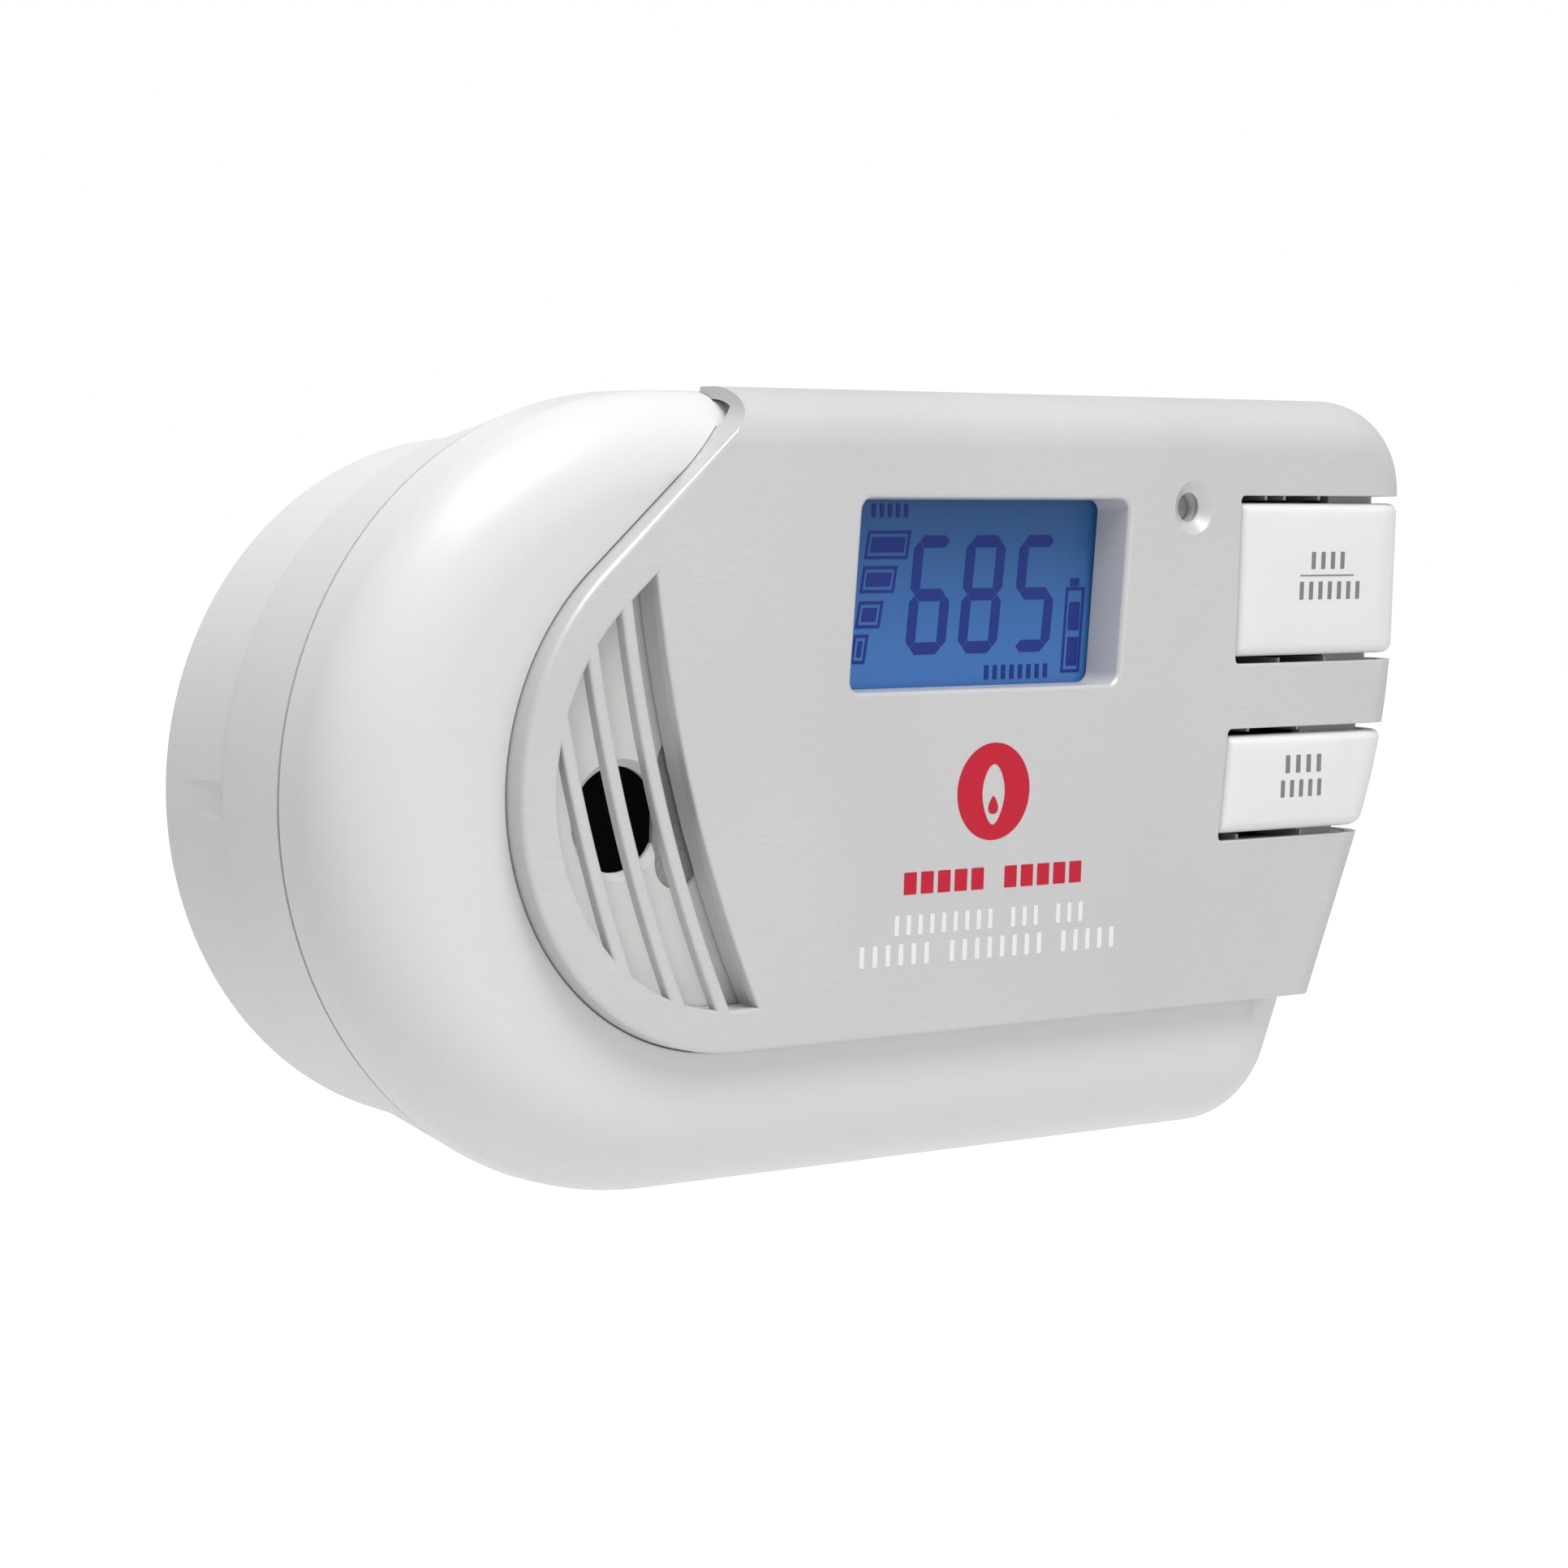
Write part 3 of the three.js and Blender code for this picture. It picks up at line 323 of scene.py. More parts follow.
def skin(y, size, grow, inwards=0.0, steps=18):
    """The full body behind one rounded surface, moved inwards by the given amount."""
    a, b = size[0] - inwards, size[1] - inwards
    return loft(body_outline, nose(grow - inwards, y + inwards, (a, b), steps) + [(grow - inwards, 20)])


def plate_skin(inwards=0.0, steps=18):
    """The body behind the face plate's rounded surface."""
    return skin(PLATE_Y, PLATE_ROUND, PLATE_PROUD, inwards, steps)


def shell_skin(inwards=0.0, steps=20):
    """The body behind the front shell's rounded surface."""
    return skin(SHELL_Y, SHELL_ROUND, 0.0, inwards, steps)


def combine(operation, body, tools):
    """Joins, cuts or intersects the body with each tool in turn; the tools are used up."""
    for tool in tools:
        step = body.modifiers.new("step", "BOOLEAN")
        step.operation, step.object, step.solver = operation, tool, "MANIFOLD"
    bpy.context.view_layer.update()
    shaped = body.evaluated_get(bpy.context.evaluated_depsgraph_get())
    mesh = bpy.data.meshes.new_from_object(shaped)
    body.modifiers.clear()
    old, body.data = body.data, mesh
    bpy.data.meshes.remove(old)
    for tool in tools:
        used = tool.data
        bpy.data.objects.remove(tool)
        bpy.data.meshes.remove(used)
    if not len(mesh.vertices):
        raise RuntimeError(f"{operation} left nothing of {body.name}")
    return body


def join(body, *tools):
    """The body together with the tools."""
    return combine("UNION", body, tools)


def cut(body, *tools):
    """The body without what the tools cover."""
    return combine("DIFFERENCE", body, tools)


def meet(body, tool):
    """What the body and the tool have in common."""
    return combine("INTERSECT", body, [tool])


def points_of(body):
    """The mesh's points in metres, one row each."""
    co = np.zeros(len(body.data.vertices) * 3)
    body.data.vertices.foreach_get("co", co)
    return co.reshape(-1, 3)


def set_points(body, co):
    """Puts the points, in metres, back into the mesh."""
    body.data.vertices.foreach_set("co", co.ravel())
    body.data.update()
    return body


def lean(body):
    """y grows by LEAN (LEAN_Z - z), so the face leans back, more towards its lower end."""
    co = points_of(body)
    co[:, 1] += LEAN * (LEAN_Z * MM - co[:, 2])
    return set_points(body, co)


def lean_y(y, z):
    """The depth that `lean` gives a point at (y, z), in millimetres."""
    return y + LEAN * (LEAN_Z - z)


def ahead_of(y):
    """Everything in front of the depth y."""
    return block(-FAR, FAR, -FAR, y, -FAR, FAR)


def shade(body, angle=32.0):
    """Smooth shading between faces that meet at less than the angle, with flat faces kept flat."""
    body.data.shade_smooth()
    body.data.set_sharp_from_angle(angle=math.radians(angle))
    weighted = body.modifiers.new("flat faces", "WEIGHTED_NORMAL")
    weighted.keep_sharp = True
    return body


def settle(body, name, part, slot, *replaced, material=None):
    """Names a finished piece, gives it its finish and puts it on its CAD body in place of the replaced
    nodes."""
    body.name = body.data.name = name
    body.data.materials.clear()
    body.data.materials.append(material or material_for(slot))
    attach(body, part)
    if replaced:
        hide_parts(*replaced)
    return body


# ---- finishes ----


def link(tree, source, target):
    """Joins two sockets of a node tree."""
    tree.links.new(source, target)


def pattern(tree, scale, detail=3.0, stretch=(1, 1, 1), rough=0.55):
    """Noise in object coordinates; stretch scales each axis before the noise is read."""
    where = tree.nodes.new("ShaderNodeTexCoord")
    mapping = tree.nodes.new("ShaderNodeMapping")
    mapping.inputs["Scale"].default_value = stretch
    noise = tree.nodes.new("ShaderNodeTexNoise")
    noise.inputs["Scale"].default_value = scale
    noise.inputs["Detail"].default_value = detail
    noise.inputs["Roughness"].default_value = rough
    link(tree, where.outputs["Object"], mapping.inputs["Vector"])
    link(tree, mapping.outputs["Vector"], noise.inputs["Vector"])
    return noise.outputs["Fac"]


def spread(tree, value, low, high, start=0.3, end=0.7):
    """Carries the range start to end of a value on to the range low to high."""
    node = tree.nodes.new("ShaderNodeMapRange")
    node.inputs["From Min"].default_value = start
    node.inputs["From Max"].default_value = end
    node.inputs["To Min"].default_value = low
    node.inputs["To Max"].default_value = high
    link(tree, value, node.inputs["Value"])
    return node.outputs["Result"]


def blend_colours(tree, factor, first, second):
    """A mix of two colours, each given as three numbers or as a socket."""
    node = tree.nodes.new("ShaderNodeMix")
    node.data_type = "RGBA"
    link(tree, factor, node.inputs["Factor"])
    for socket, colour in (("A", first), ("B", second)):
        target = [s for s in node.inputs if s.name == socket and s.type == "RGBA"][0]
        if isinstance(colour, bpy.types.NodeSocket):
            link(tree, colour, target)
        else:
            target.default_value = (*colour, 1)
    return [s for s in node.outputs if s.type == "RGBA"][0]


def tinted(colour, share):
    """The colour times a share, kept between 0 and 1."""
    return tuple(min(max(c * share, 0.0), 1.0) for c in colour)


def finish(name, colour, rough=(0.35, 0.45), cloud=30.0, shift=0.03, grain=1800.0, depth=0.01,
           stretch=(1, 1, 1), wear=0.0, **sockets):
    """A finish with soft colour clouds, a fine grain in roughness and bump, and sharp edges painted paler as
    a highlight.
    cloud and grain are noise scales per metre, depth is the grain's height in millimetres."""
    material = bpy.data.materials.new(name)
    material.use_nodes = True
    tree = material.node_tree
    shader = tree.nodes["Principled BSDF"]
    for socket, value in sockets.items():
        shader.inputs[socket.replace("_", " ")].default_value = value
    clouds = spread(tree, pattern(tree, cloud), 0, 1)
    grains = pattern(tree, grain, 4.0, stretch)
    tone = blend_colours(tree, clouds, tinted(colour, 1 - shift), tinted(colour, 1 + shift))
    tone = blend_colours(tree, spread(tree, grains, 0, 0.5), tone, tinted(colour, 1 - 2.2 * shift))
    # Painted highlight: sharp convex edges, found by pointiness, are mixed towards a paler copy of the
    # colour.
    if wear:
        edge = tree.nodes.new("ShaderNodeNewGeometry").outputs["Pointiness"]
        edge_highlight_mask = spread(tree, edge, 0, wear, 0.52, 0.62)
        tone = blend_colours(tree, edge_highlight_mask, tone, tinted(colour, 1.25))
    link(tree, tone, shader.inputs["Base Color"])
    link(tree, spread(tree, grains, *rough), shader.inputs["Roughness"])
    bump = tree.nodes.new("ShaderNodeBump")
    bump.inputs["Strength"].default_value = 0.6
    bump.inputs["Distance"].default_value = depth * MM
    link(tree, grains, bump.inputs["Height"])
    link(tree, bump.outputs["Normal"], shader.inputs["Normal"])
    material.diffuse_color = (*colour, 1)
    return material


def display_finish(colours):
    """The display's glass under a glossy surface, with painted shade: darker at its top, where the window's
    rim shades it, and lighter at its lower edge.
    """
    material = finish("display blue", colours.display, (0.16, 0.22), 90, 0.02, 2500, 0.002,
                      Coat_Weight=0.1, Specular_IOR_Level=0.25)
    tree = material.node_tree
    shader = tree.nodes["Principled BSDF"]
    where, axes = tree.nodes.new("ShaderNodeTexCoord"), tree.nodes.new("ShaderNodeSeparateXYZ")
    link(tree, where.outputs["Object"], axes.inputs["Vector"])
    # Painted shade: base colour and glow run from a lighter lower edge to a darker top.
    height = spread(tree, axes.outputs["Z"], 1, 0, WINDOW["bottom"] * MM, WINDOW["top"] * MM)
    tone = blend_colours(tree, height, tinted(colours.display, 0.62), tinted(colours.display, 1.25))
    link(tree, tone, shader.inputs["Base Color"])
    link(tree, tone, shader.inputs["Emission Color"])
    shader.inputs["Emission Strength"].default_value = DISPLAY_GLOW
    return material


# The outer finishes: name, colour setting, roughness range, cloud scale, colour shift, grain scale,
# grain depth, stretch and other sockets.
# wear is how strongly a finish paints its sharp edges paler as a highlight.
OUTER = {
    "silver_plate": ("brushed silver", "plate", (0.28, 0.48), 22, 0.045, 420, 0.045, (1.0, 3.0, 11.0),
                     dict(Metallic=0.3)),
    "white_shell": ("satin white shell", "shell", (0.27, 0.34), 18, 0.010, 1500, 0.003, (1, 1, 1),
                    dict(wear=0.15, Specular_IOR_Level=0.45)),
    "white_button": ("satin white buttons", "keys", (0.30, 0.40), 40, 0.012, 2600, 0.005, (1, 1, 1),
                     dict(wear=0.3, Specular_IOR_Level=0.45)),
    "rear_white": ("textured white rear", "rear", (0.42, 0.56), 24, 0.02, 1500, 0.03, (1, 1, 1),
                   dict(wear=0.3)),
}

# The kept pieces' finishes, with the colour itself in place of a name and a setting.
INNER = {
    "white_inner": ((0.80, 0.80, 0.78), (0.45, 0.6), 60, 0.02, 1800, 0.015, (1, 1, 1), {}),
    "clear_plastic": ((0.82, 0.86, 0.88), (0.05, 0.12), 60, 0.01, 1200, 0.002, (1, 1, 1),
                      dict(Transmission_Weight=0.6, IOR=1.49)),
    "grey_rubber": ((0.08, 0.08, 0.085), (0.6, 0.8), 80, 0.08, 2400, 0.03, (1, 1, 1), {}),
    "grey_pad": ((0.42, 0.41, 0.395), (0.85, 0.98), 90, 0.2, 1500, 0.15, (1, 1, 1), dict(Sheen_Weight=0.3)),
    "board_green": ((0.012, 0.10, 0.04), (0.28, 0.42), 160, 0.18, 900, 0.02, (1, 1, 1),
                    dict(Coat_Weight=0.4)),
    "black_part": ((0.018, 0.018, 0.019), (0.38, 0.55), 80, 0.12, 2200, 0.015, (1, 1, 1), {}),
    "grey_part": ((0.36, 0.36, 0.35), (0.4, 0.55), 80, 0.05, 2200, 0.012, (1, 1, 1), {}),
    "blue_part": ((0.02, 0.08, 0.32), (0.2, 0.3), 120, 0.1, 800, 0.02, (1, 1, 1), dict(Coat_Weight=0.5)),
    "bright_steel": ((0.60, 0.61, 0.62), (0.2, 0.36), 90, 0.05, 900, 0.004, (1, 1, 14), dict(Metallic=1.0)),
    "core_steel": ((0.24, 0.24, 0.25), (0.35, 0.55), 60, 0.12, 420, 0.05, (1, 8, 1), dict(Metallic=0.9)),
    "copper_wire": ((0.55, 0.20, 0.07), (0.22, 0.36), 90, 0.12, 240, 0.08, (1, 12, 1), dict(Metallic=0.85)),
    "brass": ((0.70, 0.53, 0.28), (0.22, 0.34), 40, 0.02, 700, 0.003, (1, 1, 12), dict(Metallic=1.0)),
    "battery_wrap": ((0.03, 0.03, 0.034), (0.25, 0.36), 60, 0.15, 1500, 0.004, (1, 1, 1),
                     dict(Coat_Weight=0.3)),
    "label_paper": ((0.80, 0.80, 0.77), (0.6, 0.75), 60, 0.03, 1400, 0.01, (1, 1, 1), {}),
}


MADE = {}


def material_for(slot):
    """The finish of one of the record's material slots, made the first time that it is asked for."""
    if slot not in MADE:
        colours = bpy.context.scene.detector_colours
        if slot == "display_blue":
            MADE[slot] = display_finish(colours)
        elif slot in OUTER:
            name, setting, *numbers, sockets = OUTER[slot]
            MADE[slot] = finish(name, getattr(colours, setting), *numbers, **sockets)
        else:
            *numbers, sockets = INNER[slot]
            MADE[slot] = finish(slot.replace("_", " "), *numbers, **sockets)
    return MADE[slot]


def ink(name, colour):
    """The matt finish of a print."""
    return finish(name, colour, (0.45, 0.6), 120, 0.02, 2600, 0.002, Specular_IOR_Level=0.2)


# ---- settings ----


def length(name, description, default, low, high):
    """A size in metres, shown in the scene's own units."""
    return FloatProperty(name=name, description=description, default=default, min=low, max=high,
                         unit="LENGTH")


def colour(name, description, default):
    """A colour in linear red, green and blue."""
    return FloatVectorProperty(name=name, description=description, subtype="COLOR", size=3,
                               default=default, min=0, max=1)


def power(name, description, default):
    """A light's power in watts."""
    return FloatProperty(name=name, description=description, default=default, min=0, max=100)


class DetectorSizes(PropertyGroup):
    """Sizes of the rims, gaps and prints that give the surfaces their detail."""

    plate_edge: length("Plate edge", "Rounding of the face plate's edge", 0.0007, 0.0002, 0.0012)
    slot_edge: length("Slot rim", "Rounding of the grille slots' rims", 0.0006, 0.0001, 0.0008)
    window_edge: length("Window rim", "Rounding of the display window's rim", 0.0007, 0.0001, 0.0015)
    shell_edge: length("Pocket rim", "Rounding where the shell meets the face plate", 0.0003, 0.0001, 0.001)
    key_edge: length("Button edge", "Rounding of the buttons' edges", 0.0013, 0.0003, 0.0015)
    key_crown: length("Button crown", "How far a button's middle stands proud", 0.00035, 0.0, 0.001)
    print_height: length("Print height", "Thickness of the printed marks", 0.00004, 0.00001, 0.0002)
    door_groove: length("Door grip groove", "Depth of the door's grip grooves", 0.0005, 0.0001, 0.001)


class DetectorColours(PropertyGroup):
    """Colours of the visible finishes."""

    shell: colour("Shell", "Front shell", (0.655, 0.655, 0.658))
    plate: colour("Face plate", "Brushed silver face plate", (0.60, 0.60, 0.603))
    keys: colour("Buttons", "Push buttons", (0.73, 0.73, 0.733))
    rear: colour("Rear case", "Rear case and battery door", (0.66, 0.66, 0.662))
    display: colour("Display", "Lit display ground", (0.034, 0.115, 0.31))
    segments: colour("Display marks", "Dark display segments", (0.022, 0.040, 0.22))
    badge: colour("Badge red", "Badge and first printed line", (0.50, 0.012, 0.032))
    pale: colour("Pale print", "Lower printed lines", (0.76, 0.76, 0.765))
    grey: colour("Button print", "Marks on the buttons", (0.20, 0.20, 0.21))


class DetectorStage(PropertyGroup):
    """The floor, the lights and the camera."""

    floor_drop: length("Floor drop", "How far the floor lies below the detector's middle", 0.26, 0.06, 1.0)
    key_power: power("Key light", "Power of the large light at the upper left, in watts", 6.3)
    top_power: power("Top light", "Power of the light overhead, in watts", 6.3)
    fill_power: power("Fill light", "Power of the lights at the right and behind, in watts", 0.5)
    sky: FloatProperty(name="Room light", description="Strength of the even light from all round",
                       default=0.57, min=0, max=3)
    lens: FloatProperty(name="Lens", description="Focal length in millimetres", default=99.1,
                        min=20, max=300)


def size_of(name):
    """One of the sizes, in millimetres."""
    return getattr(bpy.context.scene.detector_sizes, name) / MM


# ---- front pieces ----


def window_cut(grow, rim=0.0):
    """The recess round the display: it narrows evenly with depth, and its rim is rounded."""
    w, run = WINDOW, WINDOW_DEPTH + 1
    back = PLATE_Y + WINDOW_DEPTH + 0.4
    def outline(place):
        extra, y = place
        side = WINDOW_DRAFT * max(y - back + run, 0) / run
        upright = side * WINDOW_UPRIGHT_DRAFT
        return round_box(w["left"] + side, w["right"] - side, w["bottom"] + upright, w["top"] - upright,
                         WINDOW_CORNER, w["slope"])(extra)
    profile = [(grow + g, y) for g, y in flare(rim, PLATE_Y)] if rim else [(grow, PLATE_Y - 1.5)]
    return loft(outline, [((g, y), y) for g, y in profile + [(grow, back)]])


def slot_tools(rim):
    """One cutter for each slot of the grille, all with rounded rims."""
    profile = flare(rim, PLATE_Y) + [(0.0, PLATE_END_Y)]
    tools = []
    for i in range(SLOTS):
        near = SLOT_RADIUS + i * SLOT_PITCH
        slot = loft(slot_outline(near, near + SLOT_PITCH - SLAT_WIDTH), profile)
        tools.append(meet(slot, loft(grille_outline, profile)))
    return tools


def plate_blank():
    """The plate's curved wall with a thicker rim along its free edge, which is rounded."""
    rim = cut(slab(plate_outline, TUB_FRONT_Y, PLATE_RIM_Y), slab(plate_outline, -FAR, 0, -PLATE_RIM))
    blank = join(cut(plate_skin(), plate_skin(PLATE_WALL)), meet(rim, plate_skin()))
    edge = size_of("plate_edge")
    profile = nose(0.0, PLATE_Y - 0.005, (edge, edge), 6) + [(0.0, PLATE_END_Y)]
    return meet(blank, loft(plate_outline, profile))


def lamp_tools():
    """The indicator's hole and its dished rim."""
    x, z, r, rim_r = LAMP
    dish = [(rim_r + 1.1, PLATE_Y - 0.8), (rim_r, PLATE_Y), (r + 0.5, PLATE_Y + 0.9),
            (r - 0.1, PLATE_Y + 1.25)]
    return post(x, z, r, -FAR, PLATE_END_Y), loft(circle(x, z), dish)


def make_face_plate():
    """The plate with its window tub, then all its openings, leaning back."""
    tub = meet(window_cut(TUB_WALL), block(-FAR, FAR, TUB_FRONT_Y, PLATE_Y + WINDOW_DEPTH, -FAR, FAR))
    plate = cut(join(plate_blank(), tub), window_cut(0.0, size_of("window_edge")))
    plate = cut(plate, *lamp_tools())
    plate = cut(plate, *slot_tools(size_of("slot_edge")))
    for key in (TEST, PEAK):
        plate = cut(plate, loft(key_outline(key, KEY_SIDE_GAP, KEY_GAP, 0.8),
                                flare(0.35, PLATE_Y) + [(0.0, SPLIT_Y)]))
    return shade(lean(plate))


def key_backing(key):
    """The white wall that stands behind a button where it wraps round the right end."""
    foot_y = KEY_BACK_Y + KEY_FOOT
    wall = meet(cut(plate_skin(KEY_CLEAR), plate_skin(KEY_CLEAR + KEY_BACKING)), ahead_of(foot_y))
    foot = cut(slab(body_outline, KEY_BACK_Y - 0.4, foot_y, 0.4 - SHELL_WALL),
               slab(body_outline, -FAR, FAR, -KEY_CLEAR - 1))
    left = min(flank_x(key["bottom"]) - 13, key["stem"] + 8)
    return meet(join(wall, foot), block(left, FAR, -FAR, foot_y, key["bottom"] - 2, key["top"] + 2))


def key_ribs():
    """Small ribs 1 mm tall in the gaps above and below the buttons."""
    half = RIB_WIDTH / 2
    return [block(x - half, x + half, RIB_FRONT_Y, KEY_BACK_Y + 0.5, min(z, z + side), max(z, z + side))
            for x, z, side in KEY_RIBS]


def shell_posts():
    """Round posts for the screws; a web ties each case screw's post to the wall above or below it."""
    posts = [post(x, z, CASE_POST_R, CASE_POST_Y, SPLIT_Y - 2, 32) for x, z in CASE_SCREWS]
    for x, z in CASE_SCREWS:
        wall_z = math.copysign(HALF_HEIGHT, z)
        posts.append(block(x - 1, x + 1, CASE_POST_Y, SPLIT_Y - LIP - 0.9, min(z, wall_z), max(z, wall_z)))
    posts += [post(x, z, BOARD_POST_R, -FAR, BOARD_POST_Y, 32) for x, z in BOARD_SCREWS]
    return meet(join(posts[0], *posts[1:]), lean(shell_skin(1.5)))


def make_front_shell():
    """The rounded shell: a stepped pocket takes the face plate, and the hollow behind takes the boards."""
    inner = PLATE_WALL + GAP
    core = meet(plate_skin(inner), slab(plate_outline, -FAR, PLATE_END_Y + 1, -PLATE_RIM - GAP))
    ledge = slab(plate_outline, PLATE_RIM_Y + GAP, PLATE_END_Y + 1, GAP + 0.5)
    ledge = meet(meet(ledge, plate_skin(inner)), shell_skin(0.05))
    rim = [(g + POCKET_GAP, y) for g, y in flare(size_of("shell_edge"), SHELL_Y)]
    pocket = loft(plate_outline, rim + [(POCKET_GAP, PLATE_END_Y + GAP)])
    shell = join(cut(shell_skin(), pocket), core, ledge)
    grille = cut(slab(grille_outline, -FAR, PLATE_END_Y),
                 post(*SLAT_CENTRE, SLOT_RADIUS - 1, -FAR, FAR, 128))
    shell = cut(shell, shell_skin(SHELL_WALL), window_cut(TUB_WALL + GAP),
                slab(centred_box(*DISPLAY), PLATE_Y + 3, PLATE_END_Y, 0.6),
                post(*LAMP[:3], -FAR, PLATE_END_Y), grille)
    for key in (TEST, PEAK):
        opening = slab(key_outline(key, GAP, KEY_GAP + 0.1), -FAR, KEY_BACK_Y)
        shell = join(cut(shell, opening), key_backing(key))
    shell = meet(lean(join(shell, *key_ribs())), ahead_of(SPLIT_Y - GROOVE))
    holes = [post(x, z, CASE_HOLE_R, CASE_HOLE_Y, 0, 24) for x, z in CASE_SCREWS]
    holes += [post(x, z, BOARD_HOLE_R, BOARD_HOLE_Y, 0, 24) for x, z in BOARD_SCREWS]
    return shade(cut(join(shell, shell_posts()), *holes))


def make_baffle():
    """The wall behind the grille, with the horn's chamfered hole and the oblong gas opening."""
    baffle = meet(slab(grille_outline, BAFFLE_Y, BAFFLE_Y + BAFFLE_THICK),
                  block(-FAR, BAFFLE_RIGHT, -FAR, 0, -FAR, 30))
    x, z, r = HORN
    hole = loft(circle(x, z), [(r + HORN_CHAMFER + 0.5, BAFFLE_Y - 1), (r + HORN_CHAMFER * 0.6, BAFFLE_Y),
                               (r + 0.3, BAFFLE_Y + 0.7), (r, BAFFLE_Y + 1), (r, 0)])
    oblong = loft(centred_box(*OBLONG, OBLONG_CORNER), flare(0.3, BAFFLE_Y) + [(0.0, 0.0)])
    return shade(lean(cut(baffle, hole, oblong)))


def make_gauze():
    """A thin disc that fills the horn's hole near its back."""
    x, z, r = HORN
    back = BAFFLE_Y + BAFFLE_THICK
    return shade(lean(slab(circle(x, z), back - 0.5, back - 0.2, r - 0.05)))


def make_membrane():
    """A pad with a rounded front edge that fills the oblong opening."""
    profile = [(-0.3, BAFFLE_Y + 0.7), (-0.06, BAFFLE_Y + 0.9), (-0.06, BAFFLE_Y + BAFFLE_THICK - 0.1)]
    return shade(lean(loft(centred_box(*OBLONG, OBLONG_CORNER), profile)))


# ---- buttons ----


def key_depth(key, x, z):
    """How far a button's face stands proud at (x, z): crown times (1 - u^4)(1 - v^4), u and v running
    from -1 to 1 across its flat part."""
    v = 2 * (z - key["bottom"]) / (key["top"] - key["bottom"]) - 1
    u = 2 * (x - key["left"]) / (flank_x(key["bottom"]) - 7 - key["left"]) - 1
    return size_of("key_crown") * np.clip(1 - u ** 4, 0, 1) * np.clip(1 - v ** 4, 0, 1)


def right_edge(grow, z):
    """x of the body's right end at the heights z, for an outline moved outwards by `grow`."""
    flank = body_outline(grow)[LEFT_STEPS + 1:]
    return np.interp(z, flank[:, 1], flank[:, 0])


def key_sheet(key, s, t, w):
    """Points of a button's surface: s runs along the flat face and then round the right end, t up the
    button, and w is the depth below the face. On the end, x is the body outline's edge and y follows its
    ellipse."""
    z = key["bottom"] + t * (key["top"] - key["bottom"])
    left = key["left"] + key["lean"] * (z - (key["top"] + key["bottom"]) / 2)
    a, b = PLATE_ROUND[0] - w, PLATE_ROUND[1] - w
    turn = np.clip(s - 1, 0, 1) * QUARTER
    grow = PLATE_PROUD - w - a * (1 - np.sin(turn))
    wrapped = np.zeros_like(w)
    for value in np.unique(np.round(grow, 4)):
        chosen = np.round(grow, 4) == value
        wrapped[chosen] = right_edge(value, z[chosen])
    x = left + np.clip(s, 0, 1) * (wrapped - left)
    y = PLATE_Y + w + b * (1 - np.cos(turn)) - key_depth(key, x, z) * (s <= 1)
    return np.stack([x, np.where(s > 2, KEY_END_Y, y), z], -1)


def key_grid(key):
    """Places s and t on a button's surface and the depth below the face there: lines come closer at the
    edges, where the depth follows a quarter circle and then drops to the inner face."""
    edge, height = size_of("key_edge"), key["top"] - key["bottom"]
    q = np.linspace(0, QUARTER, 6)
    roll_in, roll_down = edge * (1 - np.cos(q)), edge * (1 - np.sin(q))
    up = np.linspace(edge / height, 1 - edge / height, 26)[1:-1]
    along = np.linspace(edge / KEY_FLAT, 1, 28)[1:]
    wrap = np.linspace(1, 2, 16)[1:]
    t = np.concatenate([[0], roll_in / height, up, 1 - roll_in[::-1] / height, [1]])
    t_depth = np.concatenate([[KEY_SKIN], roll_down, np.zeros(len(up)), roll_down[::-1], [KEY_SKIN]])
    s = np.concatenate([[0], roll_in / KEY_FLAT, along, wrap, [2.01]])
    s_depth = np.concatenate([[KEY_SKIN], roll_down, np.zeros(len(along) + len(wrap) + 1)])
    s, t = np.meshgrid(s, t, indexing="ij")
    s_depth, t_depth = np.meshgrid(s_depth, t_depth, indexing="ij")
    more, less = np.maximum(s_depth, t_depth), np.minimum(s_depth, t_depth)
    return s, t, np.minimum(more + less * 0.6 * (more < KEY_SKIN), KEY_SKIN)


def make_key(key):
    """A crowned sheet that rolls over at its edges, a flat inner face a skin below it, walls between the
    two, and the stem that reaches the switch."""
    s, t, depth = key_grid(key)
    outer = key_sheet(key, s, t, depth)
    inner = key_sheet(key, s, t, np.full_like(depth, KEY_SKIN))
    n, m = s.shape
    count, quads = n * m, grid_faces(n, m)
    rim = np.concatenate([np.arange(m), np.arange(2, n + 1) * m - 1,
                          np.arange(count - 2, count - m - 1, -1), np.arange(n - 2, 0, -1) * m])
    after = np.roll(rim, -1)
    walls = np.stack([rim, after, after + count, rim + count], -1)
    faces = np.vstack([quads, quads[:, ::-1] + count, walls]).tolist()
    body = mesh_object("key", np.vstack([outer.reshape(-1, 3), inner.reshape(-1, 3)]), faces)
    lean(clean(body))
    z = (key["top"] + key["bottom"]) / 2
    tip_y = PLUNGER_TIP_Y - GAP
    stem = loft(circle(key["stem"], z, 32), [(STEM_R, lean_y(PLATE_Y + KEY_SKIN - 0.6, z)),
                                             (STEM_R, tip_y - 0.4), (STEM_TIP_R, tip_y)])
    return shade(add_shell(body, stem), 40)


def clean(body, distance=0.002):
    """Merges points that coincide and turns every face outwards."""
    work = bmesh.new()
    work.from_mesh(body.data)
    bmesh.ops.remove_doubles(work, verts=work.verts, dist=distance * MM)
    bmesh.ops.dissolve_degenerate(work, edges=work.edges, dist=distance * MM / 4)
    bmesh.ops.recalc_face_normals(work, faces=work.faces)
    work.to_mesh(body.data)
    work.free()
    return body


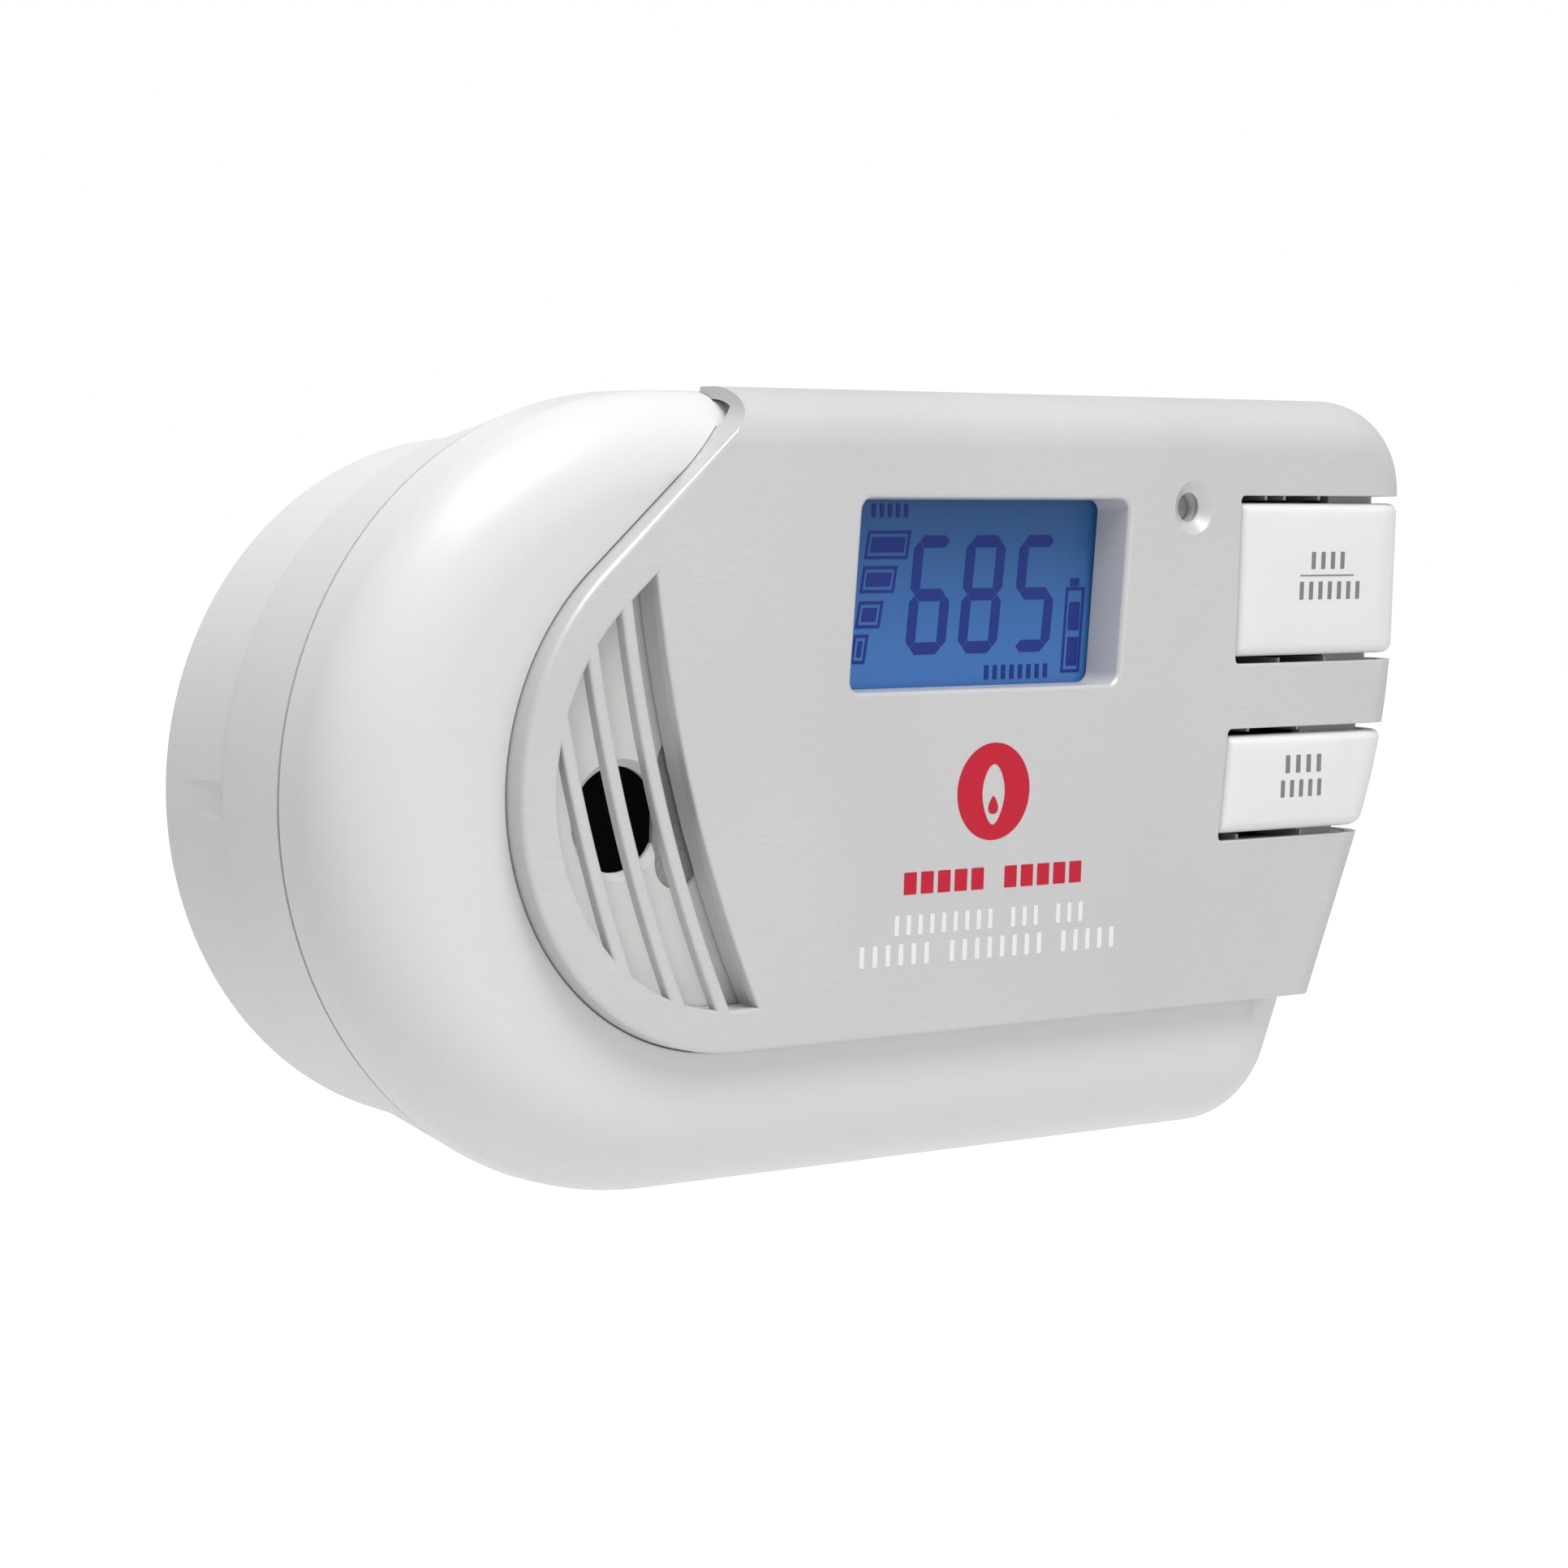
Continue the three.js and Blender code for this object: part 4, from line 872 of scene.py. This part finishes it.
def add_shell(body, *others):
    """Puts the other meshes' faces into the body's mesh, as shells of their own."""
    verts, faces = [points_of(body)], [list(p.vertices) for p in body.data.polygons]
    start = len(verts[0])
    for other in others:
        verts.append(points_of(other))
        faces += [[v + start for v in p.vertices] for p in other.data.polygons]
        start += len(other.data.vertices)
        bpy.data.objects.remove(other)
    mesh = bpy.data.meshes.new(body.name)
    mesh.from_pydata(np.vstack(verts).tolist(), [], faces)
    mesh.update()
    body.data = mesh
    return body


# ---- prints and display marks ----


def flat_bar(corners, y, thick):
    """A thin plate over a flat outline; y is its depth, or gives the depth at each point."""
    corners = np.asarray(corners, float)
    ys = y(corners[:, 0], corners[:, 1]) if callable(y) else np.full(len(corners), y)
    n = len(corners)
    front = np.column_stack([corners[:, 0], ys - thick, corners[:, 1]])
    back = np.column_stack([corners[:, 0], ys + thick * 0.5, corners[:, 1]])
    j = np.arange(n)
    k = (j + 1) % n
    walls = np.stack([j, j + n, k + n, k], -1).tolist()
    return np.vstack([front, back]), [list(range(n)), list(range(2 * n - 1, n - 1, -1))] + walls


def flat_piece(shapes, y, thick, leaning=True):
    """One mesh of thin plates, each over one flat outline, leaning back with the face."""
    verts, faces, start = [], [], 0
    for shape in shapes:
        v, f = flat_bar(shape, y, thick)
        verts.append(v)
        faces += [[i + start for i in face] for face in f]
        start += len(v)
    piece = mesh_object("prints", np.vstack(verts), faces)
    return lean(piece) if leaning else piece


def bar(left, right, bottom, top, slope=0.0, corner=0.12):
    """The outline of one small plate with just broken corners."""
    return round_box(left, right, bottom, top, corner, slope, 3)()


def word_blocks(rows):
    """Rows of upright blocks in groups: each group has the given number of blocks, on an even pitch, and
    the groups stand one pitch apart."""
    blocks = []
    for left, right, bottom, top, groups, share in rows:
        pitch = (right - left) / (sum(groups) + len(groups) - 2 + share)
        places = np.concatenate([np.arange(n) + sum(groups[:i]) + i for i, n in enumerate(groups)])
        blocks += [bar(left + pitch * k, left + pitch * (k + share), bottom, top) for k in places]
    return blocks


def digit(value, x, bottom, top, width, stroke, slope):
    """Seven-segment strokes: six-sided bars along the three levels and the four uprights."""
    middle, h, gap = (bottom + top) / 2, stroke / 2, 0.1
    def level(z):
        a, b = x + h + gap, x + width - h - gap
        return [[a, z], [a + h, z - h], [b - h, z - h], [b, z], [b - h, z + h], [a + h, z + h]]
    def upright(cx, z0, z1):
        a, b = z0 + gap, z1 - gap
        return [[cx, a], [cx + h, a + h], [cx + h, b - h], [cx, b], [cx - h, b - h], [cx - h, a + h]]
    left, right, low, high = x + h, x + width - h, bottom + h, top - h
    shapes = {"a": level(high), "g": level(middle), "d": level(low),
              "b": upright(right, middle, high), "c": upright(right, low, middle),
              "e": upright(left, low, middle), "f": upright(left, middle, high)}
    out = []
    for s in DIGITS[value]:
        points = np.array(shapes[s], float)
        points[:, 0] += slope * (points[:, 1] - middle)
        out.append(points)
    return out


def frame_bars(left, right, bottom, top, slope):
    """Four bars round an empty box that leans by the slope."""
    line, middle = LEVEL_LINE, (bottom + top) / 2
    low, high = slope * (bottom - middle), slope * (top - middle)
    inner = (bottom + line, top - line, slope, 0.03)
    return [bar(left + low, right + low, bottom, bottom + line, slope, 0.05),
            bar(left + high, right + high, top - line, top, slope, 0.05),
            bar(left, left + line, *inner), bar(right - line, right, *inner)]


def display_shapes():
    """Level boxes at the left, three digits, a battery sign at the right, and rows of blocks for words."""
    shapes, m = [], LEVEL_MARGIN
    for left, right, low, high in LEVELS:
        shapes += frame_bars(left, right, low, high, LEVEL_LEAN)
        shapes.append(bar(left + m, right - m, low + m, high - m, LEVEL_LEAN, 0.08))
    for value, x in zip(READING, READING_X):
        shapes += digit(value, x, *DIGIT)
    shapes += frame_bars(*CELL, CELL_LEAN) + [bar(*fill, CELL_LEAN) for fill in CELL_FILLS]
    return shapes + word_blocks(DISPLAY_ROWS)


def badge_shapes():
    """A round badge as a ring of strips between a circle and a flame. The flame's half width is
    2 cos a (1 - 0.42 sin a) + 0.5 sin 2a and its height 3.2 sin a + 0.8 (sin a)^3; a drop lies in it."""
    (cx, cz, r), steps = BADGE, 72
    a = np.linspace(0, 2 * math.pi, steps + 1)
    cos, sin = np.cos(a), np.sin(a)
    outer = np.column_stack([cx + r * cos, cz + r * sin])
    width = 2.0 * cos * (1 - 0.42 * sin) + 0.5 * np.sin(2 * a)
    inner = np.column_stack([cx + width, cz - 0.4 + 3.2 * sin + 0.8 * sin ** 3])
    strips = [np.array([inner[i], outer[i], outer[i + 1], inner[i + 1]]) for i in range(steps)]
    drop = np.column_stack([cx + 0.8 * cos * (1 - 0.5 * sin), cz - 1.8 + 1.2 * sin])
    return strips + [drop[:-1]]


# ---- rear pieces ----


def rear_outside():
    """The rear case from front to back: a tapering band, a soft step, a second tapering band and a
    rounded back edge."""
    a, b, c, d = REAR_IN
    q = np.linspace(0, QUARTER, 7)
    back = list(zip(-d - BACK_EDGE * (1 - np.cos(q)), BACK_EDGE * (np.sin(q) - 1)))
    return [(-a, SPLIT_Y), (-b + 0.05, STEP_Y - 0.6), (-b - 0.08, STEP_Y - 0.2), (-b - 0.3, STEP_Y),
            (-c, STEP_Y + 0.05)] + back


def rear_inside():
    """The hollow, one wall inside the case and open at the front."""
    a, b, c, d = (value + REAR_WALL for value in REAR_IN)
    step = STEP_Y - REAR_WALL * 0.3
    return [(-a, SPLIT_Y - 1), (-a, SPLIT_Y), (-b, step), (-c, step), (-d, -REAR_WALL)]


def rear_openings():
    """Cutters for the battery bay, the door's bed and hinge, the finger recess, the plug and the label."""
    left, right, half, front = BAY
    x, z, w, h = PLUG
    floor, e, hinge = -DOOR_THICK - GAP, half + 2.6, HINGE_R + 0.6
    label = round_box(*LABEL, 1.0)
    return [block(left, right, front, 2, -half, half),
            slab(round_box(left - 2.5, HINGE_X + hinge, -e, e, 0.25), floor, 2),
            slab(round_box(-FAR, RECESS_X, -RECESS_HALF, RECESS_HALF, 1.2), STEP_Y + 0.4, 2),
            block(left - 6.5, left, floor - 2.2, 2, -RECESS_HALF, RECESS_HALF),
            block(HINGE_X - hinge, HINGE_X + hinge, -3.2, 2, 1 - half, half - 1),
            slab(centred_box(x, z, w, h, 1.5), PLUG_FRONT_Y - GAP, 2, GAP),
            block(x - 9, x + 9, -20, 0, z - 6, z + 6), slab(label, -0.6, 2, GAP)]


def rear_ribs():
    """The lip that enters the shell, the walls of the battery bay and plug well, and the screw posts."""
    left, right, half, front = BAY
    x, z, w, h = PLUG
    wide, tall = w / 2 + PLUG_WALL, h / 2 + PLUG_WALL
    lip = cut(slab(body_outline, SPLIT_Y - LIP, SPLIT_Y + 3, -SHELL_WALL - 0.4),
              slab(body_outline, -FAR, FAR, -SHELL_WALL - 1.7))
    bay = block(left - BAY_WALL, right + BAY_WALL, front - BAY_WALL, -0.5, -half - BAY_WALL, half + BAY_WALL)
    well = block(x - wide, x + wide, PLUG_FRONT_Y - 1, -1, z - tall, z + tall)
    return [lip, bay, well] + [post(sx, sz, WELL_POST_R, SPLIT_Y - 1.7, -1, 32) for sx, sz in CASE_SCREWS]


def make_rear_case():
    """A stepped shell with its lip, ribs and posts kept inside its outer form, then its openings."""
    case = cut(loft(body_outline, rear_outside()), loft(body_outline, rear_inside()))
    keep = join(loft(body_outline, rear_outside()),
                slab(body_outline, SPLIT_Y - LIP, SPLIT_Y + 3, -SHELL_WALL - 0.4))
    case = meet(join(case, *rear_ribs()), keep)
    tools = rear_openings()
    for x, z in CASE_SCREWS:
        well = [(WELL_R, -8), (WELL_R, -0.5), (WELL_RIM_R - 0.1, 0.0), (WELL_RIM_R, 2)]
        tools += [post(x, z, SHANK_R, -FAR, 5, 32), loft(circle(x, z, 48), well)]
    return shade(cut(case, *tools))


def make_door():
    """The leaf, its barrel and its latch, with shallow grip grooves near the latch."""
    left, _, half, _ = BAY
    e, deep, face = half + 2.3, size_of("door_groove"), -0.1
    leaf = loft(round_box(left - 2.2, HINGE_X, -e, e, 1.0),
                [(0.0, -DOOR_THICK), (0.0, -0.35), (-0.07, -0.17), (-0.25, face)])
    barrel = loft(circle(0, 0, 40), [(HINGE_R - 0.2, 1.5 - half), (HINGE_R, 1.7 - half),
                                     (HINGE_R, half - 1.7), (HINGE_R - 0.2, half - 1.5)])
    x, y, z = points_of(barrel).T
    set_points(barrel, np.column_stack([x + HINGE_X * MM, -z - (HINGE_R + 0.1) * MM, y]))
    tab = block(left - 6, left - 1, -DOOR_THICK - 2, face, 0.5 - RECESS_HALF, RECESS_HALF - 0.5)
    grooves = []
    for i in range(GROOVES):
        start, tall = left + 3 + GROOVE_PITCH * i, GROOVE_HALF - 0.6 * i
        grooves.append(loft(round_box(start, start + 1, -tall, tall, 0.45),
                            [(-0.3, face - deep), (0.0, face - deep * 0.4), (0.25, face), (0.3, 1)]))
    return shade(cut(join(leaf, barrel, tab), *grooves))


def make_blade(name):
    """A flat blade with rounded edges, a tapered tip and the usual round hole."""
    side, width = BLADES[name]
    x, half, thick = PLUG[0] + side * BLADE_PITCH, width / 2, BLADE_THICK / 2
    section = round_box(x - thick, x + thick, -half, half, 0.3, 0.0, 4)
    def tapered(share):
        points = section()
        points[:, 0] = x + (points[:, 0] - x) * (1 - 0.55 * share)
        points[:, 1] *= 1 - 0.3 * share
        return points
    start, q = BLADE_LENGTH - BLADE_TIP, np.linspace(0, 1, 6)[1:]
    blade = loft(tapered, [(0.0, -20.0), (0.0, start)] + list(zip(q ** 1.6, start + BLADE_TIP * q)))
    hole = loft(circle(0, 0, 32), [(BLADE_HOLE_R, -4), (BLADE_HOLE_R, 4)])
    along, across, up = points_of(hole).T
    set_points(hole, np.column_stack([across + x * MM, along + BLADE_HOLE_Y * MM, -up]))
    return shade(cut(blade, clean(hole)))


# ---- operators ----


class DETECTOR_OT_front_shell(Operator):
    """Builds the white front shell with its rounded ends and the pocket for the face plate"""

    bl_idname, bl_label = "detector.front_shell", "Front shell"

    def execute(self, context):
        settle(make_front_shell(), "shell_front", "case", "white_shell", "front_shell")
        return {"FINISHED"}


class DETECTOR_OT_face_plate(Operator):
    """Builds the silver face plate with its grille, window and button openings"""

    bl_idname, bl_label = "detector.face_plate", "Face plate"

    def execute(self, context):
        settle(make_face_plate(), "plate_face", "case", "silver_plate", "face_plate")
        return {"FINISHED"}


class DETECTOR_OT_baffle(Operator):
    """Builds the white wall behind the grille, the gauze in its horn hole and the pad in its gas opening"""

    bl_idname, bl_label = "detector.baffle", "Grille baffle"

    def execute(self, context):
        settle(make_baffle(), "baffle_wall", "case", "white_inner", "horn_baffle")
        black = finish("black gauze", (0.003, 0.003, 0.003), (0.85, 0.95), 200, 0.2, 5000, 0.05,
                       Specular_IOR_Level=0.02)
        settle(make_gauze(), "horn_gauze", "case", "black_part", material=black)
        settle(make_membrane(), "gas_membrane", "case", "grey_pad")
        return {"FINISHED"}


class DETECTOR_OT_buttons(Operator):
    """Builds the two push buttons and the marks printed on them"""

    bl_idname, bl_label = "detector.buttons", "Push buttons"

    def execute(self, context):
        grey, thick = ink("grey button print", context.scene.detector_colours.grey), size_of("print_height")
        test_marks = word_blocks(TEST_ROWS) + [bar(*TEST_LINE, 0, 0.05)]
        for word, key, marks in (("test", TEST, test_marks), ("peak", PEAK, word_blocks(PEAK_ROWS))):
            part = word + "_button"
            settle(make_key(key), "key_" + word, part, "white_button", part)
            prints = flat_piece(marks, lambda x, z, key=key: PLATE_Y - key_depth(key, x, z), thick)
            settle(prints, "marks_" + word, part, "white_button", material=grey)
        return {"FINISHED"}


class DETECTOR_OT_display(Operator):
    """Lays the dark level boxes, digits and battery sign on the display's glass"""

    bl_idname, bl_label = "detector.display", "Display"

    def execute(self, context):
        dark = finish("display segments", context.scene.detector_colours.segments, (0.3, 0.4), 200, 0.01,
                      2600, 0.001, Specular_IOR_Level=0.1)
        marks = flat_piece(display_shapes(), GLASS_Y, MARK_HEIGHT)
        settle(marks, "display_marks", "case", "display_blue", material=dark)
        return {"FINISHED"}


class DETECTOR_OT_prints(Operator):
    """Lays the round badge and the rows of plain blocks on the face plate"""

    bl_idname, bl_label = "detector.prints", "Face prints"

    def execute(self, context):
        colours, thick = context.scene.detector_colours, size_of("print_height")
        for word, colour_now, shapes in (("red", colours.badge, badge_shapes() + word_blocks(RED_ROWS)),
                                         ("pale", colours.pale, word_blocks(PALE_ROWS))):
            prints, tone = flat_piece(shapes, PLATE_Y, thick), ink(word + " print", colour_now)
            settle(prints, "print_" + word, "case", "silver_plate", material=tone)
        return {"FINISHED"}


class DETECTOR_OT_rear_case(Operator):
    """Builds the rear case with its step, battery bay, plug well, label bed and screw wells"""

    bl_idname, bl_label = "detector.rear_case", "Rear case"

    def execute(self, context):
        settle(make_rear_case(), "shell_rear", "case", "rear_white", "rear_case")
        rows = [(run, LABEL_TOP - LABEL_PITCH * i) for i, run in enumerate(LABEL_RUNS)]
        lines = [bar(LABEL_LEFT, LABEL_LEFT + run, z, z + LABEL_LINE, 0, 0.1) for run, z in rows]
        prints = flat_piece(lines, LABEL_FACE_Y, 0.02, leaning=False)
        dark = ink("label print", (0.05, 0.05, 0.055))
        settle(prints, "label_lines", "case", "label_paper", material=dark)
        return {"FINISHED"}


class DETECTOR_OT_door(Operator):
    """Builds the hinged battery door"""

    bl_idname, bl_label = "detector.door", "Battery door"

    def execute(self, context):
        settle(make_door(), "door_leaf", "door", "rear_white", "battery_door")
        return {"FINISHED"}


class DETECTOR_OT_blades(Operator):
    """Builds the two plug blades"""

    bl_idname, bl_label = "detector.blades", "Plug blades"

    def execute(self, context):
        for name in BLADES:
            settle(make_blade(name), name.replace("blade", "pin"), "case", "brass", name)
        return {"FINISHED"}


class DETECTOR_OT_inner(Operator):
    """Gives every piece kept from the frame its finish: boards, sensors, sounder, battery and screws"""

    bl_idname, bl_label = "detector.inner", "Kept pieces"

    def execute(self, context):
        for name, node in NODES.items():
            if node.hide_render:
                continue
            made = material_for(SLOT_OF[name])
            if not node.material_slots:
                node.data.materials.append(made)
            for holder in node.material_slots:
                holder.material = made
        return {"FINISHED"}


# ---- stage ----


def look(item, place, target):
    """Puts a light or camera in the scene at the place and turns it to the target."""
    bpy.context.scene.collection.objects.link(item)
    item.location = place
    item.rotation_euler = (Vector(target) - Vector(place)).to_track_quat("-Z", "Y").to_euler()
    return item


def lay_floor(drop):
    """A large flat grid that glows a little; only the floor itself is lit by it."""
    grid = np.linspace(-FLOOR_HALF, FLOOR_HALF, FLOOR_LINES)
    x, y = np.meshgrid(grid, grid, indexing="ij")
    points = np.stack([x, y, np.full_like(x, -drop / MM)], -1).reshape(-1, 3)
    floor = mesh_object("floor", points, grid_faces(FLOOR_LINES, FLOOR_LINES).tolist())
    pale = finish("pale floor", (0.90, 0.90, 0.90), (0.75, 0.9), 3, 0.003, 40, 0.01)
    shader = pale.node_tree.nodes["Principled BSDF"]
    shader.inputs["Emission Color"].default_value = (1, 1, 1, 1)
    shader.inputs["Emission Strength"].default_value = FLOOR_GLOW
    floor.data.materials.append(pale)
    only_floor = bpy.data.collections.new("lit by floor")
    only_floor.objects.link(floor)
    floor.light_linking.receiver_collection = only_floor


def pale_room(strength):
    """A world that lights evenly with the given strength and that the camera sees as plain white."""
    world = bpy.data.worlds.new("pale room")
    world.use_nodes = True
    tree = world.node_tree
    ground, seen = tree.nodes["Background"], tree.nodes.new("ShaderNodeBackground")
    ground.inputs["Strength"].default_value = strength
    for background in (ground, seen):
        background.inputs["Color"].default_value = (1, 1, 1, 1)
    path, both = tree.nodes.new("ShaderNodeLightPath"), tree.nodes.new("ShaderNodeMixShader")
    link(tree, path.outputs["Is Camera Ray"], both.inputs["Fac"])
    link(tree, ground.outputs["Background"], both.inputs[1])
    link(tree, seen.outputs["Background"], both.inputs[2])
    link(tree, both.outputs["Shader"], tree.nodes["World Output"].inputs["Surface"])
    return world


class DETECTOR_OT_stage(Operator):
    """Sets the pale floor, the soft lights and the camera"""

    bl_idname, bl_label = "detector.stage", "Stage"

    def execute(self, context):
        scene, settings = context.scene, context.scene.detector_stage
        lay_floor(settings.floor_drop)
        for name, setting, size, place in LIGHTS:
            lamp = bpy.data.lights.new(name, "AREA")
            lamp.energy, lamp.size = getattr(settings, setting), size
            look(bpy.data.objects.new(name, lamp), place, LIGHT_AIM)
        scene.world = pale_room(settings.sky)
        scene.view_settings.view_transform = "Standard"
        camera = bpy.data.cameras.new("camera")
        camera.lens, camera.sensor_width, camera.clip_start = settings.lens, 36.0, 0.01
        scene.camera = look(bpy.data.objects.new("camera", camera), CAMERA_AT, CAMERA_AIM)
        return {"FINISHED"}


STEPS = [DETECTOR_OT_stage, DETECTOR_OT_front_shell, DETECTOR_OT_face_plate, DETECTOR_OT_baffle,
         DETECTOR_OT_buttons, DETECTOR_OT_display, DETECTOR_OT_prints, DETECTOR_OT_rear_case,
         DETECTOR_OT_door, DETECTOR_OT_blades, DETECTOR_OT_inner]


class VIEW3D_PT_detector(Panel):
    bl_label = "Carbon Monoxide Detector"
    bl_space_type = "VIEW_3D"
    bl_region_type = "UI"
    bl_category = "Detector"

    def draw(self, context):
        for step in STEPS:
            self.layout.operator(step.bl_idname)
        for holder, group in GROUPS.items():
            box = self.layout.box()
            for name in group.__annotations__:
                box.prop(getattr(context.scene, holder), name)


GROUPS = {
    "detector_sizes": DetectorSizes,
    "detector_colours": DetectorColours,
    "detector_stage": DetectorStage,
}


def register():
    for item in [*GROUPS.values(), *STEPS, VIEW3D_PT_detector]:
        bpy.utils.register_class(item)
    for name, group in GROUPS.items():
        setattr(bpy.types.Scene, name, PointerProperty(type=group))


def unregister():
    for name in GROUPS:
        delattr(bpy.types.Scene, name)
    for item in [VIEW3D_PT_detector, *reversed(STEPS), *GROUPS.values()]:
        bpy.utils.unregister_class(item)


def main():
    """Builds everything in order."""
    register()
    for step in STEPS:
        group, name = step.bl_idname.split(".")
        getattr(getattr(bpy.ops, group), name)()


if __name__ == "__main__":
    main()
